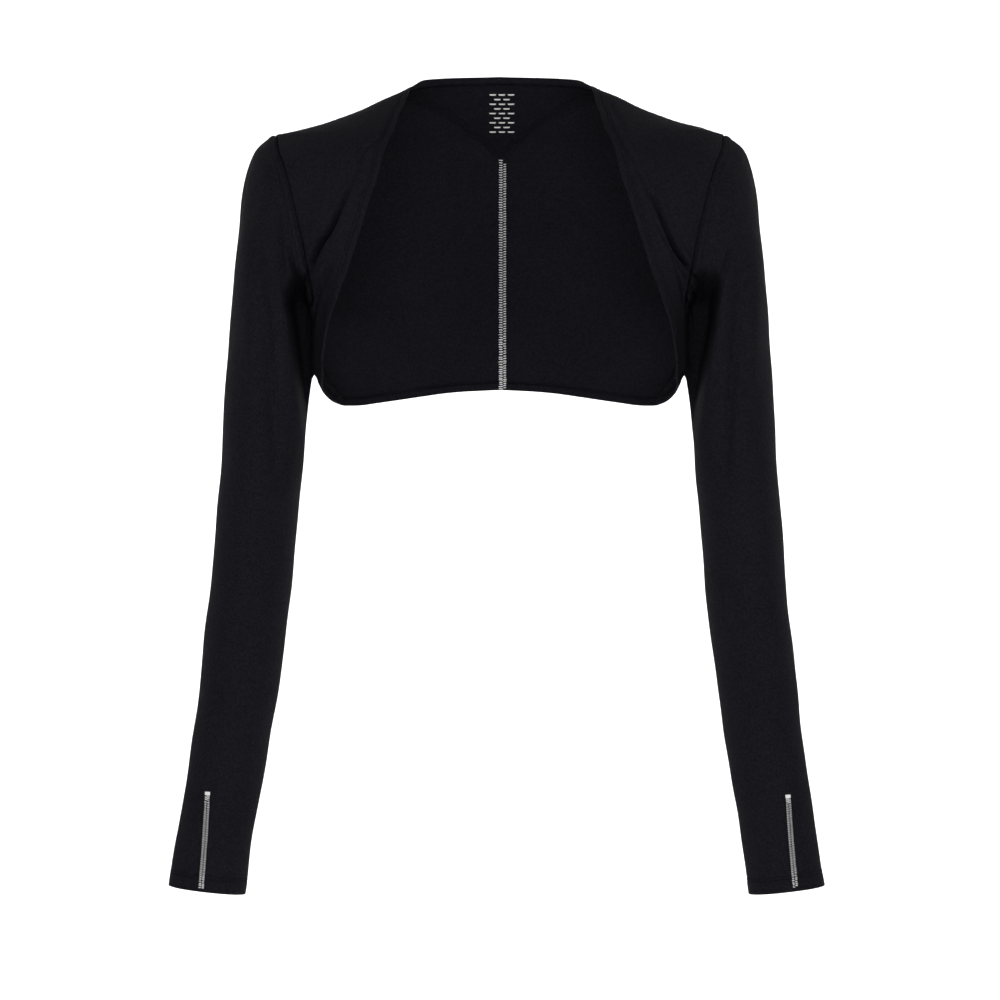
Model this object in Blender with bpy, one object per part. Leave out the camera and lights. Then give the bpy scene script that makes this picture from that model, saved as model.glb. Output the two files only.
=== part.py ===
"""Bolero jacket: a cropped, open-fronted shrug of black stretch jersey with long set-in sleeves.

Units are metres, with +Z up, +X to the right as seen from the front and +Y to the back. The origin is
midway between the two shoulder points. Each piece of cloth is a thin wall of its own.

The body panels lie on one smooth form. A place on it is an angle and a height: 0 degrees is centre
back, 90 degrees is the side and the shoulder line, and more than 90 degrees is the front. Seams and
edges are curves in angle and height, and a panel is the patch between its seams.
"""

import math
from collections import namedtuple

import bpy
import numpy as np

# Cloth
CLOTH = 0.0013  # one layer of jersey
TURNED = 0.0021  # two layers, where an edge is turned in
EDGE_TURN = 0.007  # width of the turned edge round the opening
CUFF_TURN = 0.013  # depth of the turned cuff
FACING_CLOTH = 0.0012
SEAM_GAP = 0.0003  # space between two pieces that are sewn together
LAID_GAP = 0.0008  # space between the facing and the back, which their flat facets make less

# Seams
SHOULDER_POINT_Z = 0.0
NECK_POINT_Z = 0.0402
UNDERARM_Z = -0.150
SIDE_ANGLE = 90.0
SIDE_TURN_Z = -0.2108  # height of the opening edge where it passes the side
ARMHOLE_HALF_DEPTH = 0.058
FLAT_Z = -0.070  # above this the body and the sleeve meet edge to edge
FOOT_Z = -0.110  # below this they lie side by side

# Mesh steps
SEAM_STEPS = 8  # along each side seam and shoulder seam, past the turned edge
ARMHOLE_STEPS = 22  # along each half of an armhole
ACROSS_BACK = 11
FACING_ACROSS = 22
FACING_DOWN = 4
SLEEVE_ROWS = 20
HEAD_CROWDING = 1.25  # power that crowds the sleeve's rows towards the shoulder
TURN_STEP = 0.0008  # width of the step where a turned edge ends
ANGLE_SPAN = 0.1  # metres of width that one radian stands for when a curve is spaced out
CURVE_STEPS = 24  # fine steps for each key of a smooth curve, to measure it by
ARMHOLE_FINENESS = 20  # fine steps for each armhole step, to measure it by
OVAL_STEPS = 180
FOLD_STEPS = 24
SLOPE_STEP = 0.0002  # half the distance over which the form's slope is taken
SHARP_ANGLE = 50.0  # edges that turn more than this are drawn sharp

Section = namedtuple("Section", "height half_width back front middle power")
SECTIONS = (
    Section(0.0560, 0.0670, 0.0665, 0.026, 0.0080, 2.30),
    Section(0.0402, 0.0752, 0.0695, 0.034, 0.0080, 2.20),
    Section(0.0290, 0.1000, 0.0750, 0.043, 0.0065, 2.00),
    Section(0.0210, 0.1170, 0.0785, 0.049, 0.0055, 1.87),
    Section(0.0143, 0.1340, 0.0815, 0.054, 0.0045, 1.78),
    Section(0.0084, 0.1510, 0.0840, 0.058, 0.0030, 1.72),
    Section(0.0042, 0.1680, 0.0860, 0.061, 0.0015, 1.70),
    Section(0.0018, 0.1790, 0.0870, 0.0625, 0.0008, 1.70),
    Section(0.0000, 0.1880, 0.0880, 0.0645, 0.0000, 1.70),
    Section(-0.0030, 0.1950, 0.0892, 0.0670, 0.0000, 1.71),
    Section(-0.0075, 0.1997, 0.0906, 0.0698, 0.0002, 1.74),
    Section(-0.0150, 0.2032, 0.0928, 0.0740, 0.0005, 1.79),
    Section(-0.0280, 0.2060, 0.0965, 0.081, 0.0010, 1.88),
    Section(-0.0500, 0.2055, 0.1010, 0.091, 0.0020, 1.96),
    Section(-0.0750, 0.1985, 0.1045, 0.100, 0.0030, 2.00),
    Section(-0.1000, 0.1865, 0.1060, 0.106, 0.0050, 2.00),
    Section(-0.1250, 0.1715, 0.1050, 0.108, 0.0070, 2.00),
    Section(-0.1500, 0.1580, 0.1030, 0.106, 0.0080, 2.00),
    Section(-0.1750, 0.1560, 0.0995, 0.100, 0.0080, 2.05),
    Section(-0.2000, 0.1555, 0.0965, 0.093, 0.0080, 2.10),
    Section(-0.2300, 0.1500, 0.0930, 0.086, 0.0080, 2.10),
)

EdgePoint = namedtuple("EdgePoint", "x z")
BACK_NECK = (
    EdgePoint(0.0, 0.0538),
    EdgePoint(0.0337, 0.0526),
    EdgePoint(0.0507, 0.0511),
    EdgePoint(0.0668, 0.0470),
)
FRONT_EDGE = (
    EdgePoint(0.0758, 0.0380),
    EdgePoint(0.0775, 0.0322),
    EdgePoint(0.0798, 0.0259),
    EdgePoint(0.0845, 0.0145),
    EdgePoint(0.0907, -0.0050),
    EdgePoint(0.0994, -0.0326),
    EdgePoint(0.1067, -0.0562),
    EdgePoint(0.1164, -0.0879),
    EdgePoint(0.1264, -0.1180),
    EdgePoint(0.1348, -0.1383),
    EdgePoint(0.1422, -0.1559),
    EdgePoint(0.1458, -0.1715),
    EdgePoint(0.1480, -0.1878),
)
SIDE_HEM = (
    EdgePoint(0.1420, -0.2229),
    EdgePoint(0.1325, -0.2268),
)
BACK_HEM = (
    EdgePoint(0.1190, -0.2262),
    EdgePoint(0.1022, -0.2236),
    EdgePoint(0.0853, -0.2209),
    EdgePoint(0.0682, -0.2182),
    EdgePoint(0.0511, -0.2156),
    EdgePoint(0.0340, -0.2138),
    EdgePoint(0.0, -0.2120),
)
ARMHOLE = (
    EdgePoint(0.1877, -0.0012),
    EdgePoint(0.1865, -0.0050),
    EdgePoint(0.1815, -0.0250),
    EdgePoint(0.1750, -0.0450),
    EdgePoint(0.1690, -0.0700),
    EdgePoint(0.1635, -0.0950),
    EdgePoint(0.1592, -0.1200),
    EdgePoint(0.1562, -0.1400),
)
FACING_EDGE = (
    EdgePoint(0.0, -0.0120),
    EdgePoint(0.0142, -0.0003),
    EdgePoint(0.0313, 0.0129),
    EdgePoint(0.0494, 0.0240),
    EdgePoint(0.0651, 0.0322),
    EdgePoint(0.0715, 0.0345),
)
FACING_END = 78.0  # angle where the facing runs out under the front edges
NECK_TURN = 0.0058  # depth of the turned edge at centre back

# Each ring of a sleeve stands between an outer and an inner point. A share of its shape is the
# armhole's own, and the rest is a superellipse.
Ring = namedtuple("Ring", "outer_x outer_z inner_x inner_z half_depth middle power armhole_share")
SLEEVE_RINGS = (
    Ring(0.1950, -0.0040, 0.1588, -0.1512, 0.0585, 0.0040, 2.05, 1.00),
    Ring(0.2040, -0.0125, 0.1592, -0.1535, 0.0570, 0.0042, 2.05, 1.00),
    Ring(0.2105, -0.0270, 0.1593, -0.1565, 0.0560, 0.0045, 2.05, 0.95),
    Ring(0.2155, -0.0480, 0.1591, -0.1610, 0.0545, 0.0050, 2.05, 0.85),
    Ring(0.2195, -0.0800, 0.1586, -0.1685, 0.0530, 0.0060, 2.05, 0.70),
    Ring(0.2235, -0.1220, 0.1580, -0.1800, 0.0515, 0.0070, 2.05, 0.50),
    Ring(0.2275, -0.1700, 0.1578, -0.1990, 0.0505, 0.0080, 2.05, 0.25),
    Ring(0.2310, -0.2240, 0.1610, -0.2310, 0.0490, 0.0085, 2.05, 0.10),
    Ring(0.2354, -0.2930, 0.1672, -0.3000, 0.0460, 0.0080, 2.05, 0.00),
    Ring(0.2410, -0.3660, 0.1732, -0.3740, 0.0425, 0.0060, 2.05, 0.00),
    Ring(0.2492, -0.4470, 0.1828, -0.4550, 0.0385, -0.0020, 2.05, 0.00),
    Ring(0.2570, -0.5180, 0.1938, -0.5270, 0.0345, -0.0120, 2.05, 0.00),
    Ring(0.2655, -0.5760, 0.2032, -0.5850, 0.0315, -0.0210, 2.10, 0.00),
    Ring(0.2735, -0.6275, 0.2103, -0.6350, 0.0295, -0.0290, 2.10, 0.00),
)
SLEEVE_LEAN = {"left": 0.0025, "right": -0.0025}  # how far the cuff stands out from the mean

Fold = namedtuple("Fold", "side start middle end width depth toward")
# Each fold is a soft trough. Its ends and middle are (x, z) as seen from the front, and toward is the
# way it pushes the cloth, in degrees from straight back towards the centre of the body. A negative
# depth is a ridge.
FOLDS = (
    Fold("left", (-0.099, 0.010), (-0.129, -0.066), (-0.160, -0.118), 0.0095, 0.0065, 20),
    Fold("left", (-0.137, -0.070), (-0.151, -0.098), (-0.161, -0.130), 0.0070, 0.0050, 30),
    Fold("left", (-0.146, -0.118), (-0.152, -0.140), (-0.153, -0.166), 0.0050, 0.0035, 45),
    Fold("left", (-0.155, -0.128), (-0.159, -0.146), (-0.158, -0.176), 0.0055, -0.0030, 60),
    Fold("left", (-0.205, -0.088), (-0.198, -0.155), (-0.190, -0.248), 0.0095, 0.0060, 10),
    Fold("left", (-0.184, -0.060), (-0.184, -0.110), (-0.170, -0.170), 0.0095, 0.0060, 20),
    Fold("left", (-0.209, -0.400), (-0.222, -0.425), (-0.236, -0.436), 0.0110, 0.0025, 0),
    Fold("right", (0.095, 0.014), (0.124, -0.055), (0.158, -0.112), 0.0095, 0.0055, 20),
    Fold("right", (0.146, -0.088), (0.158, -0.106), (0.166, -0.124), 0.0070, 0.0055, 30),
    Fold("right", (0.145, -0.115), (0.153, -0.140), (0.155, -0.168), 0.0050, 0.0035, 45),
    Fold("right", (0.154, -0.104), (0.163, -0.125), (0.162, -0.150), 0.0055, -0.0030, 60),
    Fold("right", (0.204, -0.100), (0.199, -0.164), (0.190, -0.254), 0.0100, 0.0065, 10),
    Fold("right", (0.196, -0.086), (0.188, -0.120), (0.174, -0.172), 0.0095, 0.0060, 20),
    Fold("right", (0.212, -0.392), (0.224, -0.418), (0.236, -0.432), 0.0110, 0.0025, 0),
)
FOLD_BACK_Y = 0.004  # folds lie in front of this depth
FOLD_FADE = 0.022  # depth over which they reach their full size
FOLD_TIP = 0.02  # share of a fold's length at each end that keeps the depth of its tip
FOLD_SWELL = 0.7  # power by which a fold deepens from its tips to its middle

PANEL_COLOUR = (0.0105, 0.0108, 0.0125, 1.0)
FACING_COLOUR = (0.0115, 0.0118, 0.0135, 1.0)
ROUGHNESS = 0.85


def clear_scene():
    for item in list(bpy.data.objects):
        bpy.data.objects.remove(item, do_unlink=True)


def spline(keys, values, at):
    """A smooth curve through values, one row for each key, read at the given keys."""
    keys = np.asarray(keys, float)
    values = np.asarray(values, float)
    slopes = np.gradient(values, keys, axis=0)
    at = np.clip(np.asarray(at, float), keys[0], keys[-1])
    index = np.clip(np.searchsorted(keys, at, side="right") - 1, 0, len(keys) - 2)
    span = keys[index + 1] - keys[index]
    part = (at - keys[index]) / span
    if values.ndim > 1:
        span = span[..., None]
        part = part[..., None]
    squared = part * part
    cubed = squared * part
    return (
        (2 * cubed - 3 * squared + 1) * values[index]
        + (cubed - 2 * squared + part) * span * slopes[index]
        + (3 * squared - 2 * cubed) * values[index + 1]
        + (cubed - squared) * span * slopes[index + 1]
    )


def even(steps):
    return np.linspace(0, 1, steps + 1)


def edged(steps, length, turn):
    """Even steps after a strip of the given width and the small step where it ends."""
    start = (turn + TURN_STEP) / length
    return np.concatenate([[0.0, turn / length], start + (1 - start) * even(steps)])


def along(points, shares):
    """Points at shares of the length of a smooth curve through the given ones."""
    points = np.asarray(points, float)
    chords = np.sqrt(np.linalg.norm(np.diff(points, axis=0), axis=1))
    keys = np.concatenate([[0.0], np.cumsum(chords)])
    dense = spline(keys, points, np.linspace(0, keys[-1], CURVE_STEPS * len(points)))
    lengths = np.concatenate([[0.0], np.cumsum(np.linalg.norm(np.diff(dense, axis=0), axis=1))])
    wanted = np.asarray(shares) * lengths[-1]
    return np.stack([np.interp(wanted, lengths, column) for column in dense.T], axis=1)


SECTION_HEIGHTS = [section.height for section in reversed(SECTIONS)]
SECTION_SIZES = [section[1:] for section in reversed(SECTIONS)]


def section_at(height):
    """The half width, back, front, middle and power of the form at a height."""
    sizes = spline(SECTION_HEIGHTS, SECTION_SIZES, height)
    return [sizes[..., column] for column in range(5)]


def form_point(place):
    """The point of the form at (angle, height), for the side with x above 0."""
    angle, height = place[..., 0], place[..., 1]
    half_width, back, front, middle, power = section_at(height)
    depth = np.where(angle <= math.pi / 2, back - middle, front + middle)
    turn = np.abs(np.cos(angle)) ** (2 / power) * np.sign(math.pi / 2 - angle)
    swing = np.abs(np.sin(angle)) ** (2 / power) * np.sign(angle)
    return np.stack([half_width * swing, middle + depth * turn, height], axis=-1)


def form_level(point):
    """Below 1 inside the form, 1 on it and above 1 outside it."""
    half_width, back, front, middle, power = section_at(point[..., 2])
    offset = point[..., 1] - middle
    depth = np.where(offset >= 0, back - middle, front + middle)
    return (np.abs(point[..., 0]) / half_width) ** power + (np.abs(offset) / depth) ** power


def form_outward(point):
    """The direction that leads straight out of the form."""
    slopes = []
    for axis in range(3):
        shift = np.zeros(3)
        shift[axis] = SLOPE_STEP
        slopes.append(form_level(point + shift) - form_level(point - shift))
    gradient = np.stack(slopes, axis=-1)
    return gradient / np.linalg.norm(gradient, axis=-1, keepdims=True)


def place_of(point, on_front):
    """(angle, height) of an edge point that shows at x and z on the back or on the front."""
    half_width, _, _, _, power = section_at(np.float64(point.z))
    share = min(point.x / half_width, 1.0)
    angle = math.asin(share ** (power / 2))
    return (math.pi - angle if on_front else angle, point.z)


def places(points, on_front=False):
    return [place_of(point, on_front) for point in points]


def spaced(route, shares):
    """A route of (angle, height) read at shares of its length."""
    scale = np.array([ANGLE_SPAN, 1.0])
    return along(np.array(route) * scale, shares) / scale


SIDE = math.radians(SIDE_ANGLE)
NECK_POINT = (SIDE, NECK_POINT_Z)
SHOULDER_POINT = (SIDE, SHOULDER_POINT_Z)
UNDERARM = (SIDE, UNDERARM_Z)
SIDE_HEM_END = places(SIDE_HEM)[-1]
NECK_ROUTE = places(BACK_NECK) + [NECK_POINT]
HEM_ROUTE = [SIDE_HEM_END] + places(BACK_HEM)
FRONT_ROUTE = (
    [NECK_POINT] + places(FRONT_EDGE, on_front=True) + [(SIDE, SIDE_TURN_Z)] + places(SIDE_HEM)
)
NECK_POINT_X, _, _, _, _ = section_at(np.float64(NECK_POINT_Z))
SHOULDER_POINT_X, _, _, _, _ = section_at(np.float64(SHOULDER_POINT_Z))
UNDERARM_X, _, _, UNDERARM_Y, _ = section_at(np.float64(UNDERARM_Z))
CENTRE_LENGTH = BACK_NECK[0].z - BACK_HEM[-1].z
SHOULDER_LENGTH = math.hypot(SHOULDER_POINT_X - NECK_POINT_X, NECK_POINT_Z - SHOULDER_POINT_Z)
SIDE_SEAM_LENGTH = math.hypot(UNDERARM_X - SIDE_HEM[-1].x, UNDERARM_Z - SIDE_HEM[-1].z)


def armhole_line(on_front):
    """Places at even steps from the shoulder point down to the underarm."""
    route = [SHOULDER_POINT] + places(ARMHOLE, on_front) + [UNDERARM]
    dense = spaced(route, even(ARMHOLE_FINENESS * ARMHOLE_STEPS))
    chords = np.linalg.norm(np.diff(form_point(dense), axis=0), axis=1)
    lengths = np.concatenate([[0.0], np.cumsum(chords)])
    wanted = even(ARMHOLE_STEPS) * lengths[-1]
    return np.stack([np.interp(wanted, lengths, column) for column in dense.T], axis=1)


def shares_of(route):
    """The share of a route's length at each of its points."""
    steps = np.linalg.norm(np.diff(route * np.array([ANGLE_SPAN, 1.0]), axis=0), axis=1)
    lengths = np.concatenate([[0.0], np.cumsum(steps)])
    return lengths / lengths[-1]


def patch(left, right, bottom, top):
    """A grid between four edges: left and right run up, bottom and top run from left to right."""
    u = ((shares_of(bottom) + shares_of(top)) / 2)[None, :, None]
    v = ((shares_of(left) + shares_of(right)) / 2)[:, None, None]
    sides = (1 - u) * left[:, None] + u * right[:, None]
    ends = (1 - v) * bottom[None] + v * top[None]
    corners = (
        (1 - u) * (1 - v) * left[0]
        + u * (1 - v) * right[0]
        + (1 - u) * v * left[-1]
        + u * v * right[-1]
    )
    return sides + ends - corners


def draw_back(points, axis, end):
    """Draws one edge of the grid back by half a seam gap."""
    points = np.moveaxis(points.copy(), axis, 0)
    near = 1 if end == 0 else -2
    inward = points[near] - points[end]
    seam = np.gradient(points[end], axis=0)
    seam /= np.linalg.norm(seam, axis=-1, keepdims=True)
    inward -= (inward * seam).sum(axis=-1, keepdims=True) * seam
    points[end] += inward / np.linalg.norm(inward, axis=-1, keepdims=True) * SEAM_GAP / 2
    return np.moveaxis(points, 0, axis)


def armhole_outward(points, own):
    """The way the walls of an armhole edge stand.

    They lie in the plane of the armhole, so that the body and the sleeve meet edge to edge, but for its
    foot, where the two lie side by side and each keeps its own direction.
    """
    top = np.array([SHOULDER_POINT_X, 0, SHOULDER_POINT_Z])
    foot = np.array([UNDERARM_X, UNDERARM_Y, UNDERARM_Z])
    half_height = np.linalg.norm(top - foot) / 2
    upward = (top - foot) / (2 * half_height)
    offset = points - (top + foot) / 2
    rise = (offset @ upward)[..., None] / half_height**2 * upward
    depth = offset[..., 1:2] / ARMHOLE_HALF_DEPTH**2 * np.array([0.0, 1.0, 0.0])
    plane = (rise + depth) / np.linalg.norm(rise + depth, axis=-1, keepdims=True)
    share = np.clip((points[..., 2:] - FOOT_Z) / (FLAT_Z - FOOT_Z), 0, 1)
    mixed = share * plane + (1 - share) * own
    return mixed / np.linalg.norm(mixed, axis=-1, keepdims=True)


def path_distance(fold, x, z):
    """Distance from the fold's curve in the front view, and the share of its length there."""
    share = even(FOLD_STEPS)
    start, middle, end = (np.array(part) for part in (fold.start, fold.middle, fold.end))
    bend = 2 * middle - (start + end) / 2
    route = (
        np.outer((1 - share) ** 2, start)
        + np.outer(2 * share * (1 - share), bend)
        + np.outer(share**2, end)
    )
    gaps = np.hypot(x[..., None] - route[:, 0], z[..., None] - route[:, 1])
    nearest = gaps.argmin(axis=-1)
    return gaps.min(axis=-1), share[nearest]


def add_folds(points, side):
    """Pushes the front of a piece in along its folds."""
    moved = points.copy()
    front = np.clip((FOLD_BACK_Y - points[..., 1]) / FOLD_FADE, 0, 1)
    for fold in FOLDS:
        if fold.side != side:
            continue
        distance, share = path_distance(fold, points[..., 0], points[..., 2])
        swell = np.sin(math.pi * np.clip(share, FOLD_TIP, 1 - FOLD_TIP)) ** FOLD_SWELL
        turn = math.radians(fold.toward)
        sideways = math.sin(turn) if side == "left" else -math.sin(turn)
        push = fold.depth * swell * np.exp(-((distance / fold.width) ** 2)) * front
        moved += push[..., None] * np.array([sideways, math.cos(turn), 0.0])
    return moved


def on_side(points, side):
    """Turns points made with x above 0 to the named side."""
    return points * np.array([-1.0 if side == "left" else 1.0, 1.0, 1.0])


def colour_of(name, colour):
    material = bpy.data.materials.new(name + "_jersey")
    material.use_nodes = True
    shader = material.node_tree.nodes["Principled BSDF"]
    shader.inputs["Base Color"].default_value = colour
    shader.inputs["Roughness"].default_value = ROUGHNESS
    shader.inputs["Metallic"].default_value = 0.0
    return material


def wall(name, outer, inner, collection, colour, closed=False):
    """A solid wall between two grids of points. A closed wall joins its last column to its first."""
    rows, columns = outer.shape[:2]
    count = rows * columns
    points = np.concatenate([outer.reshape(-1, 3), inner.reshape(-1, 3)])
    last = columns if closed else columns - 1
    faces = []
    for row in range(rows - 1):
        for column in range(last):
            beside = (column + 1) % columns
            corners = (
                row * columns + column,
                row * columns + beside,
                (row + 1) * columns + beside,
                (row + 1) * columns + column,
            )
            faces.append(corners)
            faces.append(tuple(count + corner for corner in reversed(corners)))
    rim = [(column, (column + 1) % columns) for column in range(last)]
    rim += [
        ((rows - 1) * columns + (column + 1) % columns, (rows - 1) * columns + column)
        for column in range(last)
    ]
    if not closed:
        rim += [((row + 1) * columns, row * columns) for row in range(rows - 1)]
        rim += [
            (row * columns + columns - 1, (row + 1) * columns + columns - 1) for row in range(rows - 1)
        ]
    faces += [(second, first, count + first, count + second) for first, second in rim]
    mesh = bpy.data.meshes.new(name)
    mesh.from_pydata([tuple(point) for point in points], [], faces)
    mesh.update()
    if signed_volume(points, faces) < 0:
        mesh.flip_normals()
    mesh.shade_smooth()
    mesh.set_sharp_from_angle(angle=math.radians(SHARP_ANGLE))
    mesh.materials.append(colour_of(name, colour))
    piece = bpy.data.objects.new(name, mesh)
    collection.objects.link(piece)
    return piece


def signed_volume(points, faces):
    total = 0.0
    for face in faces:
        first, second, third, fourth = (points[corner] for corner in face)
        total += np.dot(first, np.cross(second, third)) + np.dot(first, np.cross(third, fourth))
    return total


def dress(name, grid, thickness, side, collection, seams, armhole_rows):
    """A body panel: the form's points, its seams drawn apart, its folds and its wall."""
    points = form_point(grid)
    for axis, end in seams:
        points = draw_back(points, axis, end)
    outward = form_outward(points)
    outward[armhole_rows, -1] = armhole_outward(points[armhole_rows, -1], outward[armhole_rows, -1])
    outward = on_side(outward, side)
    outer = add_folds(on_side(points, side), side)
    inner = outer - outward * thickness[..., None]
    wall(name, outer, inner, collection, PANEL_COLOUR)


def back_panel(side, collection):
    side_seam = spaced([SIDE_HEM_END, UNDERARM], edged(SEAM_STEPS, SIDE_SEAM_LENGTH, EDGE_TURN))
    armhole = armhole_line(on_front=False)[::-1]
    shoulder = spaced([NECK_POINT, SHOULDER_POINT], edged(SEAM_STEPS, SHOULDER_LENGTH, EDGE_TURN))[::-1]
    outer_edge = np.concatenate([side_seam, armhole[1:], shoulder[1:]])
    hem_shares = edged(len(outer_edge) - 3, CENTRE_LENGTH, EDGE_TURN)
    centre_shares = np.concatenate([hem_shares[:-3], 1 - edged(0, CENTRE_LENGTH, NECK_TURN)[::-1]])
    centre = spaced([(0.0, BACK_HEM[-1].z), (0.0, BACK_NECK[0].z)], centre_shares)
    hem = spaced(HEM_ROUTE, even(ACROSS_BACK))[::-1]
    neck = spaced(NECK_ROUTE, even(ACROSS_BACK))
    grid = patch(centre, outer_edge, hem, neck)
    thickness = np.full(grid.shape[:2], CLOTH)
    thickness[:2] = TURNED
    thickness[-2:] = TURNED
    first = len(side_seam) - 1
    armhole_rows = slice(first, first + ARMHOLE_STEPS + 1)
    dress("back_" + side, grid, thickness, side, collection, [(1, 0), (1, -1)], armhole_rows)


def front_panel(side, collection):
    edge = spaced(FRONT_ROUTE, even(ARMHOLE_STEPS))
    armhole = armhole_line(on_front=True)
    shoulder = spaced([NECK_POINT, SHOULDER_POINT], edged(SEAM_STEPS, SHOULDER_LENGTH, EDGE_TURN))
    side_seam = spaced([SIDE_HEM_END, UNDERARM], edged(SEAM_STEPS, SIDE_SEAM_LENGTH, EDGE_TURN))
    grid = patch(edge, armhole, shoulder, side_seam)
    thickness = np.full(grid.shape[:2], CLOTH)
    thickness[:, :2] = TURNED
    seams = [(0, 0), (0, -1), (1, -1)]
    dress("front_" + side, grid, thickness, side, collection, seams, slice(None))


def armhole_shape(on_front):
    """Half of the armhole as shares of its half height, its half depth and its bow out of plane."""
    points = form_point(armhole_line(on_front))
    arm = (points[0] - points[-1]) / 2
    arm[1] = 0
    half_height = np.linalg.norm(arm)
    offset = points - (points[0] + points[-1]) / 2
    reach = offset @ arm / half_height**2
    bow = offset @ np.array([-arm[2], 0, arm[0]]) / half_height**2
    middle = np.linspace(points[0, 1], points[-1, 1], len(points))
    return np.stack([reach, np.abs(points[:, 1] - middle) / ARMHOLE_HALF_DEPTH, bow], axis=1)


def oval_shape(power):
    """Half of a superellipse as shares of its half height and its half depth, at even steps."""
    turn = math.pi * even(OVAL_STEPS)
    reach = np.abs(np.cos(turn)) ** (2 / power) * np.sign(np.cos(turn))
    bulge = np.abs(np.sin(turn)) ** (2 / power)
    lengths = np.concatenate([[0.0], np.cumsum(np.hypot(np.diff(reach), np.diff(bulge)))])
    wanted = even(ARMHOLE_STEPS) * lengths[-1]
    shape = [np.interp(wanted, lengths, reach), np.interp(wanted, lengths, bulge)]
    return np.stack(shape + [np.zeros(len(wanted))], axis=1)


def ring_half(ring, on_front):
    """Half of a sleeve ring, from its outer point to its inner one."""
    share = ring.armhole_share
    shape = share * armhole_shape(on_front) + (1 - share) * oval_shape(ring.power)
    centre = np.array([ring.outer_x + ring.inner_x, 0, ring.outer_z + ring.inner_z]) / 2
    arm = np.array([ring.outer_x - ring.inner_x, 0, ring.outer_z - ring.inner_z]) / 2
    across = np.array([-arm[2], 0, arm[0]])
    points = centre + np.outer(shape[:, 0], arm) + np.outer(shape[:, 2], across)
    points[:, 1] = ring.middle + shape[:, 1] * ring.half_depth * (-1 if on_front else 1)
    return points


def joined_ring(front, back):
    """One ring from its front and back halves, both from the outer point to the inner one."""
    return np.concatenate([front, back[-2:0:-1]])


def armhole_ring():
    front = form_point(armhole_line(on_front=True))
    back = form_point(armhole_line(on_front=False))
    return joined_ring(front, back) + np.array([SEAM_GAP, 0, 0])


def sleeve_rows(rings):
    """Rows of points down the sleeve, close together at the shoulder and at the turned cuff."""
    middles = np.array([ring.mean(axis=0) for ring in rings])
    lengths = np.linalg.norm(np.diff(middles, axis=0), axis=1)
    steps = np.sqrt(lengths)
    keys = np.concatenate([[0.0], np.cumsum(steps)])
    cuff_share = CUFF_TURN / lengths[-1]
    step_share = (CUFF_TURN + TURN_STEP) / lengths[-1]
    cuff_keys = keys[-1] - steps[-1] * np.array([step_share, cuff_share, 0])
    at = np.concatenate([cuff_keys[0] * even(SLEEVE_ROWS - 1) ** HEAD_CROWDING, cuff_keys[1:]])
    flat = spline(keys, np.array(rings).reshape(len(rings), -1), at)
    return flat.reshape(len(at), -1, 3)


def tube_outward(points):
    """The direction out of a tube whose rows run round it."""
    round_it = np.roll(points, -1, axis=1) - np.roll(points, 1, axis=1)
    outward = np.cross(round_it, np.gradient(points, axis=0))
    outward /= np.linalg.norm(outward, axis=-1, keepdims=True)
    from_middle = points - points.mean(axis=1, keepdims=True)
    return outward * np.sign((outward * from_middle).sum(axis=-1).mean())


def sleeve(side, collection):
    rings = [joined_ring(ring_half(ring, True), ring_half(ring, False)) for ring in SLEEVE_RINGS]
    points = sleeve_rows([armhole_ring()] + rings)
    drop = np.clip(points[..., 2] / SLEEVE_RINGS[-1].inner_z, 0, 1)
    points[..., 0] += SLEEVE_LEAN[side] * drop**2
    outward = tube_outward(points)
    outward[0] = armhole_outward(points[0], outward[0])
    outward = on_side(outward, side)
    outer = add_folds(on_side(points, side), side)
    thickness = np.full(points.shape[:2], CLOTH)
    thickness[-2:] = TURNED
    inner = outer - outward * thickness[..., None]
    wall("sleeve_" + side, outer, inner, collection, PANEL_COLOUR, closed=True)


def facing(collection):
    """The V-shaped facing, laid on the inside of the back from one front edge to the other."""
    end = math.radians(FACING_END)
    angles = np.linspace(-end, end, FACING_ACROSS + 1)
    neck = np.array(places(BACK_NECK) + [NECK_POINT])
    lower = np.array(places(FACING_EDGE))
    top = spline(neck[:, 0], neck[:, 1], np.abs(angles)) - EDGE_TURN - TURN_STEP - LAID_GAP
    foot = spline(lower[:, 0], lower[:, 1], np.abs(angles))
    share = even(FACING_DOWN)[:, None]
    heights = top + (foot - top) * share
    points = form_point(np.stack([np.broadcast_to(angles, heights.shape), heights], axis=-1))
    outward = form_outward(points)
    outer = points - outward * (CLOTH + LAID_GAP)
    inner = outer - outward * FACING_CLOTH
    wall("back_neck_facing", outer, inner, collection, FACING_COLOUR)


def main():
    clear_scene()
    collection = bpy.data.collections.new("bolero_jacket")
    bpy.context.scene.collection.children.link(collection)
    for side in ("left", "right"):
        back_panel(side, collection)
        front_panel(side, collection)
        sleeve(side, collection)
    facing(collection)


main()
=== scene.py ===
"""Looks of the bolero jacket: fine shells of cloth on the solids' own form, their folds, sewing and print.

Units are metres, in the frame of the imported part: +Z up, +X to the right as seen from the front, +Y to
the back, and the origin midway between the shoulder points.
"""

import math
from collections import namedtuple

import bpy
import numpy as np
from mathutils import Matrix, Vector
from mathutils.bvhtree import BVHTree
from mathutils.kdtree import KDTree


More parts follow.
